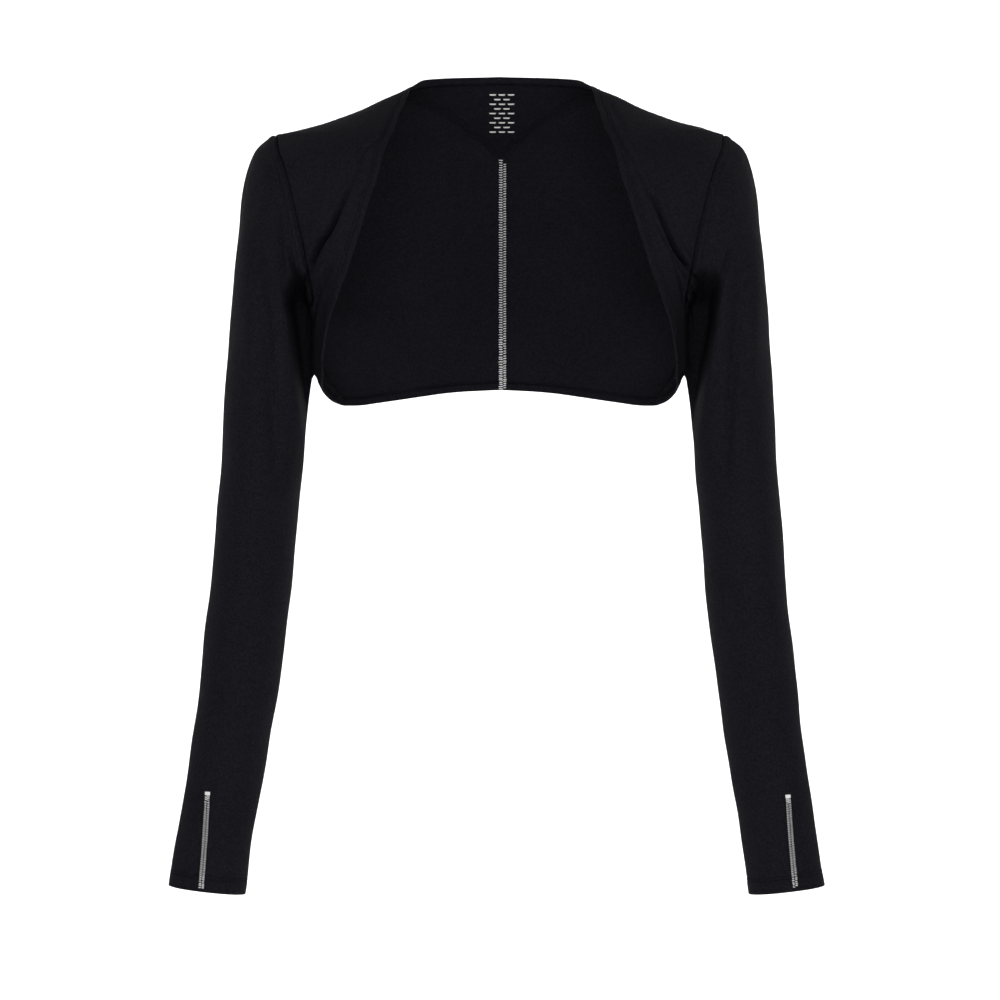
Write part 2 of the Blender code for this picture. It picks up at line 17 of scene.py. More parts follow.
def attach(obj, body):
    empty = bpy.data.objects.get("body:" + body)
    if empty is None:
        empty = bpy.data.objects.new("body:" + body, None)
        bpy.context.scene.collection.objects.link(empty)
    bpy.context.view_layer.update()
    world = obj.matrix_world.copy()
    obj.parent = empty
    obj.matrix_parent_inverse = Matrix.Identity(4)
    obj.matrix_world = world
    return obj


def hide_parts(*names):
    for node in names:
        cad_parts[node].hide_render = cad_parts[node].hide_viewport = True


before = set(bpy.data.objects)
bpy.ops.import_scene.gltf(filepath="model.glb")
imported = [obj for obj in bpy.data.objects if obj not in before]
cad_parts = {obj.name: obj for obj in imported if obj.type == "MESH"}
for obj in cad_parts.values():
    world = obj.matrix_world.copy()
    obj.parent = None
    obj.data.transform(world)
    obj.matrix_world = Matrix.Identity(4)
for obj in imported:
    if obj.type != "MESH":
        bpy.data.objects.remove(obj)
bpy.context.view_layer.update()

MM = 0.001

# Cloth
CLOTH = 1.1 * MM
TURNED = 2.0 * MM  # two layers, where an edge is turned in
EDGE_TURN = 7.0 * MM
CUFF_TURN = 13.0 * MM
FACING_CLOTH = 1.0 * MM
FACING_GAP = 0.25 * MM  # space between the facing and the back
FACING_RISE = 1.1 * MM  # how far its lower edge stands off the back beyond that
EDGE_ROUND = 0.6  # how far a turned edge rounds out, as a share of half its thickness

# Seams
NECK_POINT_Z = 0.0402
SHOULDER_POINT_Z = 0.0
UNDERARM_Z = -0.150
SIDE_TURN_Z = -0.2150
ARMHOLE_HALF_DEPTH = 0.058
SEAM_GAP = 0.1 * MM
SEAM_DIP = 1.25  # millimetres
SEAM_WIDTH = 0.95 * MM
SEAM_FADE = 6 * MM  # the folds fade out over this much beside an armhole

# Mesh steps
FINE_STEP = 0.75 * MM  # across a turned edge
STEP = 2.0 * MM
ANGLE_SPAN = 0.1  # metres of width that one radian stands for when a curve is spaced out
CURVE_STEPS = 160
SLOPE_STEP = 0.2 * MM
ARC_STEPS = 5  # round a turned edge
HALF_RING_STEPS = 68
ARM_START, CUFF_START = 0.06, 0.972  # shares of a sleeve, beyond which its rows are finer

# The view
EYE = np.array([0.0004, -4.0, -0.307])
FRAME_WIDTH = 0.84  # of the photo, at the garment's middle
SENSOR = 36.0

# Sewing
THREAD_RADIUS = 0.21 * MM
OVERLOCK_RADIUS = 0.16 * MM
THREAD_SIDES = 5
STITCH = 2.6 * MM
STITCH_SHARES = np.array([0.05, 0.26, 0.5, 0.74, 0.95])
STITCH_LIFTS = np.array([-0.9, 0.35, 0.7, 0.35, -0.9])
ZIGZAG_STEP = 0.42 * MM
NEEDLES_APART = 2.6 * MM
ARMHOLE_NEEDLES = (1.9 * MM, 6.2 * MM)
FACING_NEEDLES = (1.6 * MM, 4.2 * MM)
STRIP_CLOTH = 0.85 * MM
TAPE_ROWS = (0.3, 2.3, 4.2, 6.2)  # millimetres from the armhole seam, on the sleeve
CAST_REACH = 9 * MM
END_ROWS = 60  # of a sleeve's grid, in which its armhole's and its cuff's sewing lies

# Height, half width, back, front, middle and power of the horizontal sections of the form
SECTIONS = (
    (0.0560, 0.0670, 0.0665, 0.0260, 0.0080, 2.30),
    (0.0402, 0.0752, 0.0699, 0.0343, 0.0080, 2.23),
    (0.0290, 0.1000, 0.0746, 0.0427, 0.0065, 1.94),
    (0.0210, 0.1170, 0.0782, 0.0488, 0.0055, 1.83),
    (0.0143, 0.1340, 0.0814, 0.0540, 0.0045, 1.75),
    (0.0084, 0.1510, 0.0838, 0.0580, 0.0030, 1.73),
    (0.0042, 0.1680, 0.0860, 0.0612, 0.0015, 1.69),
    (0.0018, 0.1790, 0.0873, 0.0631, 0.0008, 1.66),
    (0.0000, 0.1880, 0.0885, 0.0646, 0.0000, 1.63),
    (-0.0030, 0.1950, 0.0891, 0.0666, 0.0000, 1.68),
    (-0.0075, 0.1997, 0.0900, 0.0694, 0.0002, 1.78),
    (-0.0150, 0.2032, 0.0925, 0.0742, 0.0005, 1.90),
    (-0.0280, 0.2060, 0.0969, 0.0816, 0.0010, 1.98),
    (-0.0500, 0.2055, 0.1015, 0.0914, 0.0020, 2.00),
    (-0.0750, 0.1985, 0.1045, 0.1000, 0.0030, 2.00),
    (-0.1000, 0.1865, 0.1060, 0.1060, 0.0050, 2.00),
    (-0.1250, 0.1715, 0.1050, 0.108, 0.0070, 2.00),
    (-0.1500, 0.1580, 0.1030, 0.106, 0.0080, 2.00),
    (-0.1750, 0.1560, 0.0995, 0.100, 0.0080, 2.05),
    (-0.2000, 0.1552, 0.0965, 0.093, 0.0080, 2.10),
    (-0.2300, 0.1410, 0.0930, 0.086, 0.0080, 2.10),
)

# Points of the edges of the right side, as x and z
BACK_NECK = (
    (0.0, 0.0538), (0.0337, 0.0526), (0.0507, 0.0511), (0.0668, 0.0470),
)
FRONT_EDGE = (
    (0.0758, 0.0380), (0.0775, 0.0322), (0.0798, 0.0259), (0.0845, 0.0145), (0.0907, -0.0050),
    (0.0994, -0.0326), (0.1067, -0.0562), (0.1164, -0.0879), (0.1264, -0.1180), (0.1348, -0.1383),
    (0.1422, -0.1559), (0.1458, -0.1715), (0.1484, -0.1878), (0.1482, -0.2030),
)
SIDE_HEM = (
    (0.1420, -0.2229), (0.1325, -0.2268),
)
BACK_HEM = (
    (0.1190, -0.2262), (0.1022, -0.2236), (0.0853, -0.2209), (0.0682, -0.2182), (0.0511, -0.2156),
    (0.0340, -0.2138), (0.0, -0.2120),
)
ARMHOLE = (
    (0.1877, -0.0012), (0.1865, -0.0050), (0.1815, -0.0250), (0.1750, -0.0450), (0.1690, -0.0700),
    (0.1635, -0.0950), (0.1592, -0.1200), (0.1562, -0.1400),
)
FACING_EDGE = (
    (0.0, -0.0120), (0.0142, -0.0003), (0.0313, 0.0129), (0.0494, 0.0240), (0.0651, 0.0322),
    (0.0715, 0.0345),
)
FACING_END = math.radians(78.0)

# Each ring of a sleeve stands between an outer and an inner point. A share of its shape is the
# armhole's own, and the rest is a superellipse.
Ring = namedtuple("Ring", "outer_x outer_z inner_x inner_z half_depth middle power armhole_share")
SLEEVE_RINGS = (
    Ring(0.1950, -0.0040, 0.1588, -0.1512, 0.0585, 0.0040, 2.05, 1.00),
    Ring(0.2040, -0.0125, 0.1592, -0.1535, 0.0570, 0.0042, 2.05, 1.00),
    Ring(0.2105, -0.0270, 0.1593, -0.1565, 0.0560, 0.0045, 2.05, 0.95),
    Ring(0.2155, -0.0480, 0.1591, -0.1610, 0.0545, 0.0050, 2.05, 0.85),
    Ring(0.2195, -0.0800, 0.1586, -0.1685, 0.0530, 0.0060, 2.05, 0.70),
    Ring(0.2235, -0.1220, 0.1580, -0.1800, 0.0515, 0.0070, 2.05, 0.50),
    Ring(0.2275, -0.1700, 0.1578, -0.1990, 0.0505, 0.0080, 2.05, 0.25),
    Ring(0.2310, -0.2240, 0.1610, -0.2310, 0.0490, 0.0085, 2.05, 0.10),
    Ring(0.2354, -0.2930, 0.1672, -0.3000, 0.0460, 0.0080, 2.05, 0.00),
    Ring(0.2410, -0.3660, 0.1732, -0.3740, 0.0425, 0.0060, 2.05, 0.00),
    Ring(0.2492, -0.4470, 0.1828, -0.4550, 0.0385, -0.0020, 2.05, 0.00),
    Ring(0.2570, -0.5180, 0.1938, -0.5270, 0.0345, -0.0120, 2.05, 0.00),
    Ring(0.2655, -0.5760, 0.2032, -0.5850, 0.0315, -0.0210, 2.10, 0.00),
    Ring(0.2735, -0.6275, 0.2103, -0.6350, 0.0295, -0.0290, 2.10, 0.00),
)
SLEEVE_LEAN = {"left": 0.0025, "right": -0.0025}  # how far the cuff stands out from the mean
NECK_SHIFT = 2.8 * MM  # of the right side against the left one, along X
SHOULDER_RISE = 2.0 * MM  # and along Z

# Folds, by the side and the face that they lie on: width, depth, sharpness and ridge, and then the x and
# z of the stations in millimetres as seen from the front, or through the front for those of the back. A
# negative depth is a broad ridge. The sharper a fold, the lower its sharpness. A ridge stands beside it,
# on the side away from the body's middle if above 0 and towards it if below.
FOLDS = {
    ("left", "front"): (
        (1.3, 2.2, 1.5, 0.5, -88, 18, -101, -2, -114, -13, -121, -33, -131, -55, -142, -78),
        (1.9, 9.5, 1.8, 1.2, -127, -44, -134, -60, -142.4, -78, -152.5, -93, -158.5, -107, -163.4, -123,
         -163, -136),
        (1.3, 7.0, 2.0, 0.0, -139, -71, -146, -84, -153, -94, -158.5, -107, -162, -118),
        (6.0, 1.8, 2.0, 0.0, -138, -64, -149, -84, -158, -104),
        (2.0, 4.2, 1.6, 0.8, -143, -108, -149, -122, -154.5, -137, -158.5, -157, -160, -174),
        (4.1, 2.0, 1.8, -0.3, -139, -98, -146, -122, -150, -150, -151, -180),
        (7.0, -1.6, 2.0, 0.0, -140, -36, -149, -62, -157, -86),
        (8.0, -2.2, 2.0, 0.0, -211, -50, -211.3, -88, -207, -140, -205, -190),
        (6.5, 6.5, 1.7, 0.8, -205.4, -84, -202, -124, -195, -178, -188, -256, -187, -300),
        (2.6, 4.6, 1.5, 0.6, -185.5, -56, -184.5, -88, -183, -112, -180, -132, -177, -150),
        (1.7, 4.4, 1.6, 0.9, -178, -88, -174.5, -107, -168, -123, -163.5, -135),
        (6.0, -2.0, 2.0, 0.0, -192, -120, -187, -150, -181, -196),
        (10.0, 0.9, 2.0, 0.0, -190, -300, -194, -360, -206, -440),
        (9.0, -0.7, 2.0, 0.0, -224, -330, -232, -400, -242, -470),
    ),
    ("right", "front"): (
        (1.3, 1.9, 1.5, 0.5, 89, 16, 99, 0, 112, -20, 124, -46, 134, -66),
        (1.9, 9.5, 1.8, 1.2, 127, -46, 134, -62, 140, -76, 147, -92, 154, -104, 161.5, -115, 167, -126),
        (1.3, 7.0, 2.0, 0.0, 145, -88, 150, -98, 156, -108, 162, -116, 166, -124),
        (1.5, 3.2, 1.6, -0.8, 131, -70, 138.2, -85, 147, -101, 154, -114, 161, -130, 165, -145),
        (6.0, 1.6, 2.0, 0.0, 134, -62, 148, -84, 160, -104),
        (1.6, 3.8, 1.6, 0.8, 143, -98, 149, -111, 155, -133, 160, -155, 161, -170),
        (3.6, -1.8, 2.0, 0.0, 152, -100, 160, -116, 165, -130, 166, -150),
        (1.9, 4.5, 1.6, 0.5, 171, -113, 170, -124, 167, -138, 165, -150),
        (2.0, 0.8, 1.5, 0.3, 88, 32, 96, 20, 106, 0),
        (7.5, -2.2, 2.0, 0.0, 213, -58, 213.8, -112, 212.5, -164, 210, -210),
        (6.5, 7.5, 1.7, 0.9, 204.8, -104, 203, -140, 197, -190, 190, -262, 190, -300),
        (2.8, 4.6, 1.5, 0.6, 199, -84, 193, -104, 187, -122, 182, -142),
        (5.5, -2.0, 2.0, 0.0, 192, -128, 186, -164, 181, -200),
        (10.0, 0.9, 2.0, 0.0, 192, -300, 197, -370, 208, -450),
        (9.0, -0.7, 2.0, 0.0, 222, -320, 230, -400, 240, -480),
    ),
    ("left", "back"): (
        (5.0, 2.6, 1.5, 0.8, -104, 6, -128, -40, -152, -92),
        (4.2, 4.4, 1.4, 1.2, -112, -50, -134, -84, -156, -118),
        (4.0, 3.0, 1.4, 0.8, -120, -104, -140, -124, -156, -142),
        (8.0, 1.6, 2.0, 0.3, -120, -150, -124, -180, -118, -212),
        (6.5, 5.0, 1.7, 0.8, -206, -90, -200, -150, -190, -236),
        (5.0, 5.4, 1.6, 0.8, -188, -62, -184, -108, -172, -170),
        (6.0, 2.2, 1.6, 0.5, -186, -336, -206, -352, -228, -356),
        (5.5, 1.8, 1.6, 0.4, -190, -372, -212, -384, -234, -382),
        (6.0, 1.4, 1.6, 0.3, -196, -410, -216, -414, -238, -406),
    ),
    ("right", "back"): (
        (5.0, 2.4, 1.5, 0.8, 100, 2, 126, -46, 150, -98),
        (4.2, 4.6, 1.4, 1.2, 114, -58, 136, -90, 158, -126),
        (4.0, 2.8, 1.4, 0.8, 124, -112, 142, -130, 156, -146),
        (8.0, 1.5, 2.0, 0.3, 112, -146, 120, -176, 116, -210),
        (6.5, 5.2, 1.7, 0.8, 207, -98, 200, -160, 190, -248),
        (5.0, 5.0, 1.6, 0.8, 190, -66, 184, -114, 173, -178),
        (6.0, 2.0, 1.6, 0.5, 188, -330, 208, -342, 228, -348),
        (5.5, 2.0, 1.6, 0.4, 190, -362, 212, -372, 234, -374),
        (6.0, 1.3, 1.6, 0.3, 198, -400, 218, -408, 240, -402),
    ),
}
FOLD_STEPS = 60
FOLD_SWELL = 0.6
FOLD_REACH = 5.5  # widths beyond which a fold is not felt
RIDGE_PLACE = 2.3  # of the ridge beside a fold, in the fold's widths
RIDGE_WIDTH = 1.2

# The outer side of the deep hollow between a sleeve and the body, in millimetres as seen
HOLLOW = {
    "left": ((-104, 170), (-126, 180), (-140, 181), (-164, 178), (-199, 174), (-240, 168), (-290, 164)),
    "right": ((-104, 184), (-118, 188), (-138, 186), (-156, 184), (-197, 177), (-240, 170), (-290, 165)),
}
HOLLOW_Y = 28 * MM
HOLLOW_WALL = 6.5 * MM
HOLLOW_DEPTHS = ((0.108, 0.142), (0.204, 0.270))  # below the shoulder points, where it starts and ends

# Below the armhole the body and the sleeve draw closer, by these amounts along X
TOUCH_DEPTHS = ((0.140, 0.152), (0.196, 0.206))
BODY_OUT = 3.0 * MM
SLEEVE_IN = -3.2 * MM


def spline(keys, values, at):
    """A smooth curve through values, one row for each key, read at the given keys."""
    keys = np.asarray(keys, float)
    values = np.asarray(values, float)
    slopes = np.gradient(values, keys, axis=0)
    at = np.clip(np.asarray(at, float), keys[0], keys[-1])
    index = np.clip(np.searchsorted(keys, at, side="right") - 1, 0, len(keys) - 2)
    span = keys[index + 1] - keys[index]
    part = (at - keys[index]) / span
    if values.ndim > 1:
        span = span[..., None]
        part = part[..., None]
    squared = part * part
    cubed = squared * part
    return (
        (2 * cubed - 3 * squared + 1) * values[index]
        + (cubed - 2 * squared + part) * span * slopes[index]
        + (3 * squared - 2 * cubed) * values[index + 1]
        + (cubed - squared) * span * slopes[index + 1]
    )


def even(steps):
    return np.linspace(0, 1, steps + 1)


def unit(vectors):
    return vectors / np.maximum(np.linalg.norm(vectors, axis=-1, keepdims=True), 1e-12)


def smooth(values, low, high):
    """0 below low, 1 above high and a smooth rise between."""
    part = np.clip((values - low) / (high - low), 0, 1)
    return part * part * (3 - 2 * part)


def between(values, rise, fall):
    """0 outside two spans and 1 between them, with a smooth rise over the first and fall over the last."""
    return smooth(values, *rise) * (1 - smooth(values, *fall))


def bell(values, middle, width):
    return np.exp(-(((values - middle) / width) ** 2))


def read(values, keys, wanted):
    """The rows of values at the wanted keys."""
    return np.stack([np.interp(wanted, keys, column) for column in values.T], axis=1)


def lengths_of(points):
    steps = np.linalg.norm(np.diff(points, axis=0), axis=-1)
    return np.concatenate([[0.0], np.cumsum(steps)])


def along(points, shares):
    """Points at shares of the length of a smooth curve through the given ones."""
    points = np.asarray(points, float)
    chords = np.sqrt(np.linalg.norm(np.diff(points, axis=0), axis=1))
    keys = np.concatenate([[0.0], np.cumsum(chords)])
    dense = spline(keys, points, np.linspace(0, keys[-1], CURVE_STEPS * len(points)))
    lengths = lengths_of(dense)
    return read(dense, lengths, np.asarray(shares) * lengths[-1])


def fine_shares(length, fine_start=0.0, fine_end=0.0, step=STEP):
    """Shares of a length, in steps that are fine over the given stretches at its start and end."""
    start_steps = round(fine_start / FINE_STEP)
    end_steps = round(fine_end / FINE_STEP)
    middle = length - fine_start - fine_end
    parts = [fine_start * even(start_steps)] if start_steps else [np.zeros(1)]
    parts.append(fine_start + middle * even(max(2, round(middle / step)))[1:])
    if end_steps:
        parts.append(length - fine_end + fine_end * even(end_steps)[1:])
    return np.concatenate(parts) / length


SECTION_HEIGHTS = [section[0] for section in reversed(SECTIONS)]
SECTION_SIZES = [section[1:] for section in reversed(SECTIONS)]


def section_at(height):
    """The half width, back, front, middle and power of the form at a height."""
    sizes = spline(SECTION_HEIGHTS, SECTION_SIZES, height)
    return [sizes[..., column] for column in range(5)]


def form_point(place):
    """The point of the form at (angle, height), for the side with x above 0."""
    angle, height = place[..., 0], place[..., 1]
    half_width, back, front, middle, power = section_at(height)
    depth = np.where(angle <= math.pi / 2, back - middle, front + middle)
    turn = np.abs(np.cos(angle)) ** (2 / power) * np.sign(math.pi / 2 - angle)
    swing = np.abs(np.sin(angle)) ** (2 / power) * np.sign(angle)
    return np.stack([half_width * swing, middle + depth * turn, height], axis=-1)


def form_level(point):
    half_width, back, front, middle, power = section_at(point[..., 2])
    offset = point[..., 1] - middle
    depth = np.where(offset >= 0, back - middle, front + middle)
    return (np.abs(point[..., 0]) / half_width) ** power + (np.abs(offset) / depth) ** power


def form_outward(point):
    """The direction that leads straight out of the form."""
    slopes = []
    for axis in range(3):
        shift = np.zeros(3)
        shift[axis] = SLOPE_STEP
        slopes.append(form_level(point + shift) - form_level(point - shift))
    return unit(np.stack(slopes, axis=-1))


def places(points, on_front=False):
    """(angle, height) of edge points that show at x and z on the back or on the front."""
    found = []
    for x, z in points:
        half_width, _, _, _, power = section_at(np.float64(z))
        angle = math.asin(min(x / half_width, 1.0) ** (power / 2))
        found.append((math.pi - angle if on_front else angle, z))
    return found


def spaced(route, shares):
    """A route of (angle, height) read at shares of its length."""
    scale = np.array([ANGLE_SPAN, 1.0])
    return along(np.array(route) * scale, shares) / scale


SIDES = ("left", "right")
RIGHTWARD = np.array([1.0, 0, 0])
BACKWARD = np.array([0, 1.0, 0])
SIDE = math.pi / 2
NECK_POINT = (SIDE, NECK_POINT_Z)
SHOULDER_POINT = (SIDE, SHOULDER_POINT_Z)
UNDERARM = (SIDE, UNDERARM_Z)
SIDE_HEM_END = places(SIDE_HEM)[-1]
NECK_ROUTE = places(BACK_NECK) + [NECK_POINT]
HEM_ROUTE = [SIDE_HEM_END] + places(BACK_HEM)
FRONT_ROUTE = (
    [NECK_POINT] + places(FRONT_EDGE, on_front=True) + [(SIDE, SIDE_TURN_Z)] + places(SIDE_HEM)
)
CENTRE_TOP_Z, CENTRE_FOOT_Z = BACK_NECK[0][1], BACK_HEM[-1][1]
CENTRE_LENGTH = CENTRE_TOP_Z - CENTRE_FOOT_Z

# Lengths that set the steps along the seams
SHOULDER_LENGTH = 0.120
SIDE_SEAM_LENGTH = 0.080
ARMHOLE_LENGTH = 0.185
FINE_EDGE = 12 * FINE_STEP  # the finely stepped strip beside a turned edge
FINE_SEAM = 4 * FINE_STEP  # and beside a seam


def evened(route, shares):
    """A route of (angle, height) read at shares of its length in space."""
    dense = spaced(route, even(CURVE_STEPS * 8))
    lengths = lengths_of(form_point(dense))
    return read(dense, lengths, shares * lengths[-1])


def armhole_line(on_front, shares):
    """Places from the shoulder point down to the underarm."""
    return evened([SHOULDER_POINT] + places(ARMHOLE, on_front) + [UNDERARM], shares)


def shares_of(route):
    """The share of a route's length at each of its points."""
    lengths = lengths_of(route * np.array([ANGLE_SPAN, 1.0]))
    return lengths / lengths[-1]


def patch(left, right, bottom, top):
    """A grid between four edges: left and right run up, bottom and top run from left to right."""
    u = ((shares_of(bottom) + shares_of(top)) / 2)[None, :, None]
    v = ((shares_of(left) + shares_of(right)) / 2)[:, None, None]
    sides = (1 - u) * left[:, None] + u * right[:, None]
    ends = (1 - v) * bottom[None] + v * top[None]
    corners = (
        (1 - u) * (1 - v) * left[0]
        + u * (1 - v) * right[0]
        + (1 - u) * v * left[-1]
        + u * v * right[-1]
    )
    return sides + ends - corners


def on_side(points, side):
    """Turns points made with x above 0 to the named side."""
    return points * np.array([-1.0 if side == "left" else 1.0, 1.0, 1.0])


def stand(points, side):
    """Points made with x above 0 on the named side, with what differs between the two sides."""
    points = on_side(points, side)
    if side == "right":
        x, z = points[..., 0], points[..., 2]
        rise = between(x, (0.060, 0.095), (0.165, 0.187)) * smooth(z, -0.045, 0.0)
        reach = bell(x, 0.080, 0.030) * smooth(z, 0.015, 0.040)
        points = np.stack([x + NECK_SHIFT * reach, points[..., 1], z + SHOULDER_RISE * rise], axis=-1)
    return points


def closer(points, amount, near_x, far_x):
    """Points moved along X below the armhole, where the sleeve and the body touch."""
    x, z = points[..., 0], points[..., 2]
    share = between(-z, *TOUCH_DEPTHS) * smooth(np.abs(x), near_x, far_x)
    return points + (amount * share * np.sign(x))[..., None] * RIGHTWARD


def hollowed(points, side, distance):
    """A sleeve's points, pushed in between the sleeve and the body, away from the armhole's seam."""
    x, z = seen(points)
    bounds = np.array(HOLLOW[side])[::-1] * MM
    bound = spline(bounds[:, 0], bounds[:, 1], z)
    share = np.clip((bound - np.abs(x)) / HOLLOW_WALL, 0, 1)
    share = share**2 * (1.5 - 0.5 * share)  # steepest at the wall's foot
    share *= between(-z, *HOLLOW_DEPTHS) * smooth(distance, 1.5 * MM, 11 * MM)
    return points + (share * np.maximum(HOLLOW_Y - points[..., 1], 0))[..., None] * BACKWARD


class Line:
    """A line on the cloth, which tells how far a point lies from it and how far along it that is."""

    def __init__(self, points):
        self.points = points
        self.lengths = lengths_of(points)
        self.tree = KDTree(len(points))
        for index, point in enumerate(points):
            self.tree.insert(point, index)
        self.tree.balance()

    def near(self, points):
        """The distance of each point, and its place along the line."""
        found = [self.tree.find(point)[1:] for point in points.reshape(-1, 3)]
        index = np.array([item[0] for item in found])
        distance = np.array([item[1] for item in found])
        shape = points.shape[:-1]
        return distance.reshape(shape), self.lengths[index].reshape(shape)


DENSE = even(900)
EDGE_POINTS = form_point(np.concatenate([
    spaced(NECK_ROUTE, DENSE), spaced(FRONT_ROUTE, DENSE)[1:], spaced(HEM_ROUTE, DENSE)[1:],
]))
SEAMS = {
    "edge": EDGE_POINTS,
    "armhole": form_point(
        np.concatenate([armhole_line(True, DENSE)[::-1], armhole_line(False, DENSE)[1:]])
    ),
    "shoulder": form_point(spaced([NECK_POINT, SHOULDER_POINT], DENSE)),
    "side": form_point(spaced([SIDE_HEM_END, UNDERARM], DENSE)),
}
LINES = {
    side: {name: Line(stand(points, side)) for name, points in SEAMS.items()} for side in SIDES
}


def seen(points):
    """Where points show in the front view, at the depth of the garment's middle."""
    scale = 1 + points[..., 1] / -EYE[1]
    return points[..., 0] / scale, EYE[2] + (points[..., 2] - EYE[2]) / scale


def fold_lift(points, outward, side):
    """How far the folds lift the cloth along its outward direction."""
    place = np.stack(seen(points), axis=-1)
    lift = np.zeros(points.shape[:-1])
    swell = np.sin(math.pi * even(FOLD_STEPS)) ** FOLD_SWELL
    for face, sign in (("front", -1), ("back", 1)):
        weight = smooth(sign * outward[..., 1], -0.10, 0.45)
        for width, depth, sharpness, ridge, *stations in FOLDS[side, face]:
            line = along(np.reshape(stations, (-1, 2)) * MM, even(FOLD_STEPS))
            reach = FOLD_REACH * width * MM
            near = (place > line.min(axis=0) - reach) & (place < line.max(axis=0) + reach)
            near = near.all(axis=-1) & (weight > 0)
            if not near.any():
                continue
            offsets = place[near][:, None] - line
            gaps = np.hypot(offsets[..., 0], offsets[..., 1])
            nearest = gaps.argmin(axis=1)
            distance = gaps.min(axis=1) / (width * MM)
            beyond = np.abs(place[near][:, 0]) > np.abs(line[nearest, 0])
            beside = bell(distance, RIDGE_PLACE, RIDGE_WIDTH) * (beyond == (ridge > 0))
            shape = -depth * np.exp(-(distance**sharpness))
            shape += abs(ridge) * beside * smooth(distance, 0, RIDGE_PLACE)
            lift[near] += shape * MM * swell[nearest] * weight[near]
    return lift


# The slow waves of cloth that hangs smooth: three turns for each metre, a start and a height
WAVES = (
    (41.0, 17.0, 63.0, 0.4, 0.35),
    (-58.0, 33.0, 37.0, 1.9, 0.28),
    (97.0, -45.0, 52.0, 3.1, 0.17),
    (-72.0, 81.0, 128.0, 5.2, 0.11),
    (143.0, 60.0, -110.0, 2.3, 0.08),
)


def rest_lift(points):
    """The slight unevenness of cloth that hangs smooth."""
    lift = np.zeros(points.shape[:-1])
    for *turns, start, height in WAVES:
        lift += height * MM * np.sin(points @ np.array(turns) + start)
    return lift


def pucker(place, short, long, sway):
    """Small waves along a seam, of uneven lengths."""
    return np.sin(place / (short * MM) + sway * np.sin(place / (long * MM)))


def needle_grooves(distance, insets, width):
    return sum(bell(distance, inset, width) for inset in insets)


def turned_lift(distance, place, width):
    """A turned and stitched edge: a band a little proud, and the grooves of its two needle lines."""
    band = 0.34 * (1 - smooth(distance, width - 0.6 * MM, width + 1.4 * MM))
    waves = 0.10 * pucker(place, 0.86, 7.3, 1.6)
    grooves = 0.52 * needle_grooves(distance, (width - NEEDLES_APART, width), 0.65 * MM)
    return (band + waves * bell(distance, width, 2.6 * MM) - grooves) * MM


def seam_lift(distance, place):
    """The dip where two pieces are sewn together, with its slight pucker."""
    waves = 0.10 * pucker(place, 1.1, 6.1, 1.3)
    return (-SEAM_DIP * bell(distance, 0, SEAM_WIDTH) + waves * bell(distance, 0, 5 * MM)) * MM


def sleeve_seam_lift(distance, place):
    """The sleeve's side of the armhole: a topstitched allowance under the cloth, drawn up unevenly."""
    waves = 0.24 * pucker(place, 1.05, 8.7, 1.8)
    band = 0.32 * between(distance, (0.6 * MM, 1.8 * MM), (6.2 * MM, 8.2 * MM))
    grooves = 0.34 * needle_grooves(distance, ARMHOLE_NEEDLES, 0.6 * MM)
    dip = SEAM_DIP * bell(distance, 0, SEAM_WIDTH)
    return (band - grooves - dip + waves * bell(distance, 4.4 * MM, 4.0 * MM)) * MM


def grid_outward(points, outward, closed=False):
    """The outward direction of a grid of points, turned the way of a rougher one."""
    if closed:
        across = np.roll(points, -1, axis=1) - np.roll(points, 1, axis=1)
    else:
        across = np.gradient(points, axis=1)
    found = unit(np.cross(across, np.gradient(points, axis=0)))
    return found * np.sign((found * outward).sum(axis=-1, keepdims=True))


def rim(outer, inner, beyond):
    """Rows that round the edge between an outer and an inner row of points."""
    middle = (outer + inner) / 2
    radius = np.linalg.norm(outer - inner, axis=-1, keepdims=True) / 2
    ahead = unit(outer - beyond) * radius * EDGE_ROUND
    turns = math.pi * even(ARC_STEPS + 1)[1:-1]
    return [middle + math.cos(turn) * (outer - middle) + math.sin(turn) * ahead for turn in turns]


def make_mesh(name, points, faces, coordinates=None):
    mesh = bpy.data.meshes.new(name)
    mesh.from_pydata(points.tolist(), [], faces)
    if coordinates is not None:
        layer = mesh.uv_layers.new(name="cloth")
        layer.data.foreach_set("uv", np.asarray(coordinates, np.float32).ravel())
    mesh.shade_smooth()
    mesh.validate()
    piece = bpy.data.objects.new(name, mesh)
    bpy.context.scene.collection.objects.link(piece)
    return piece


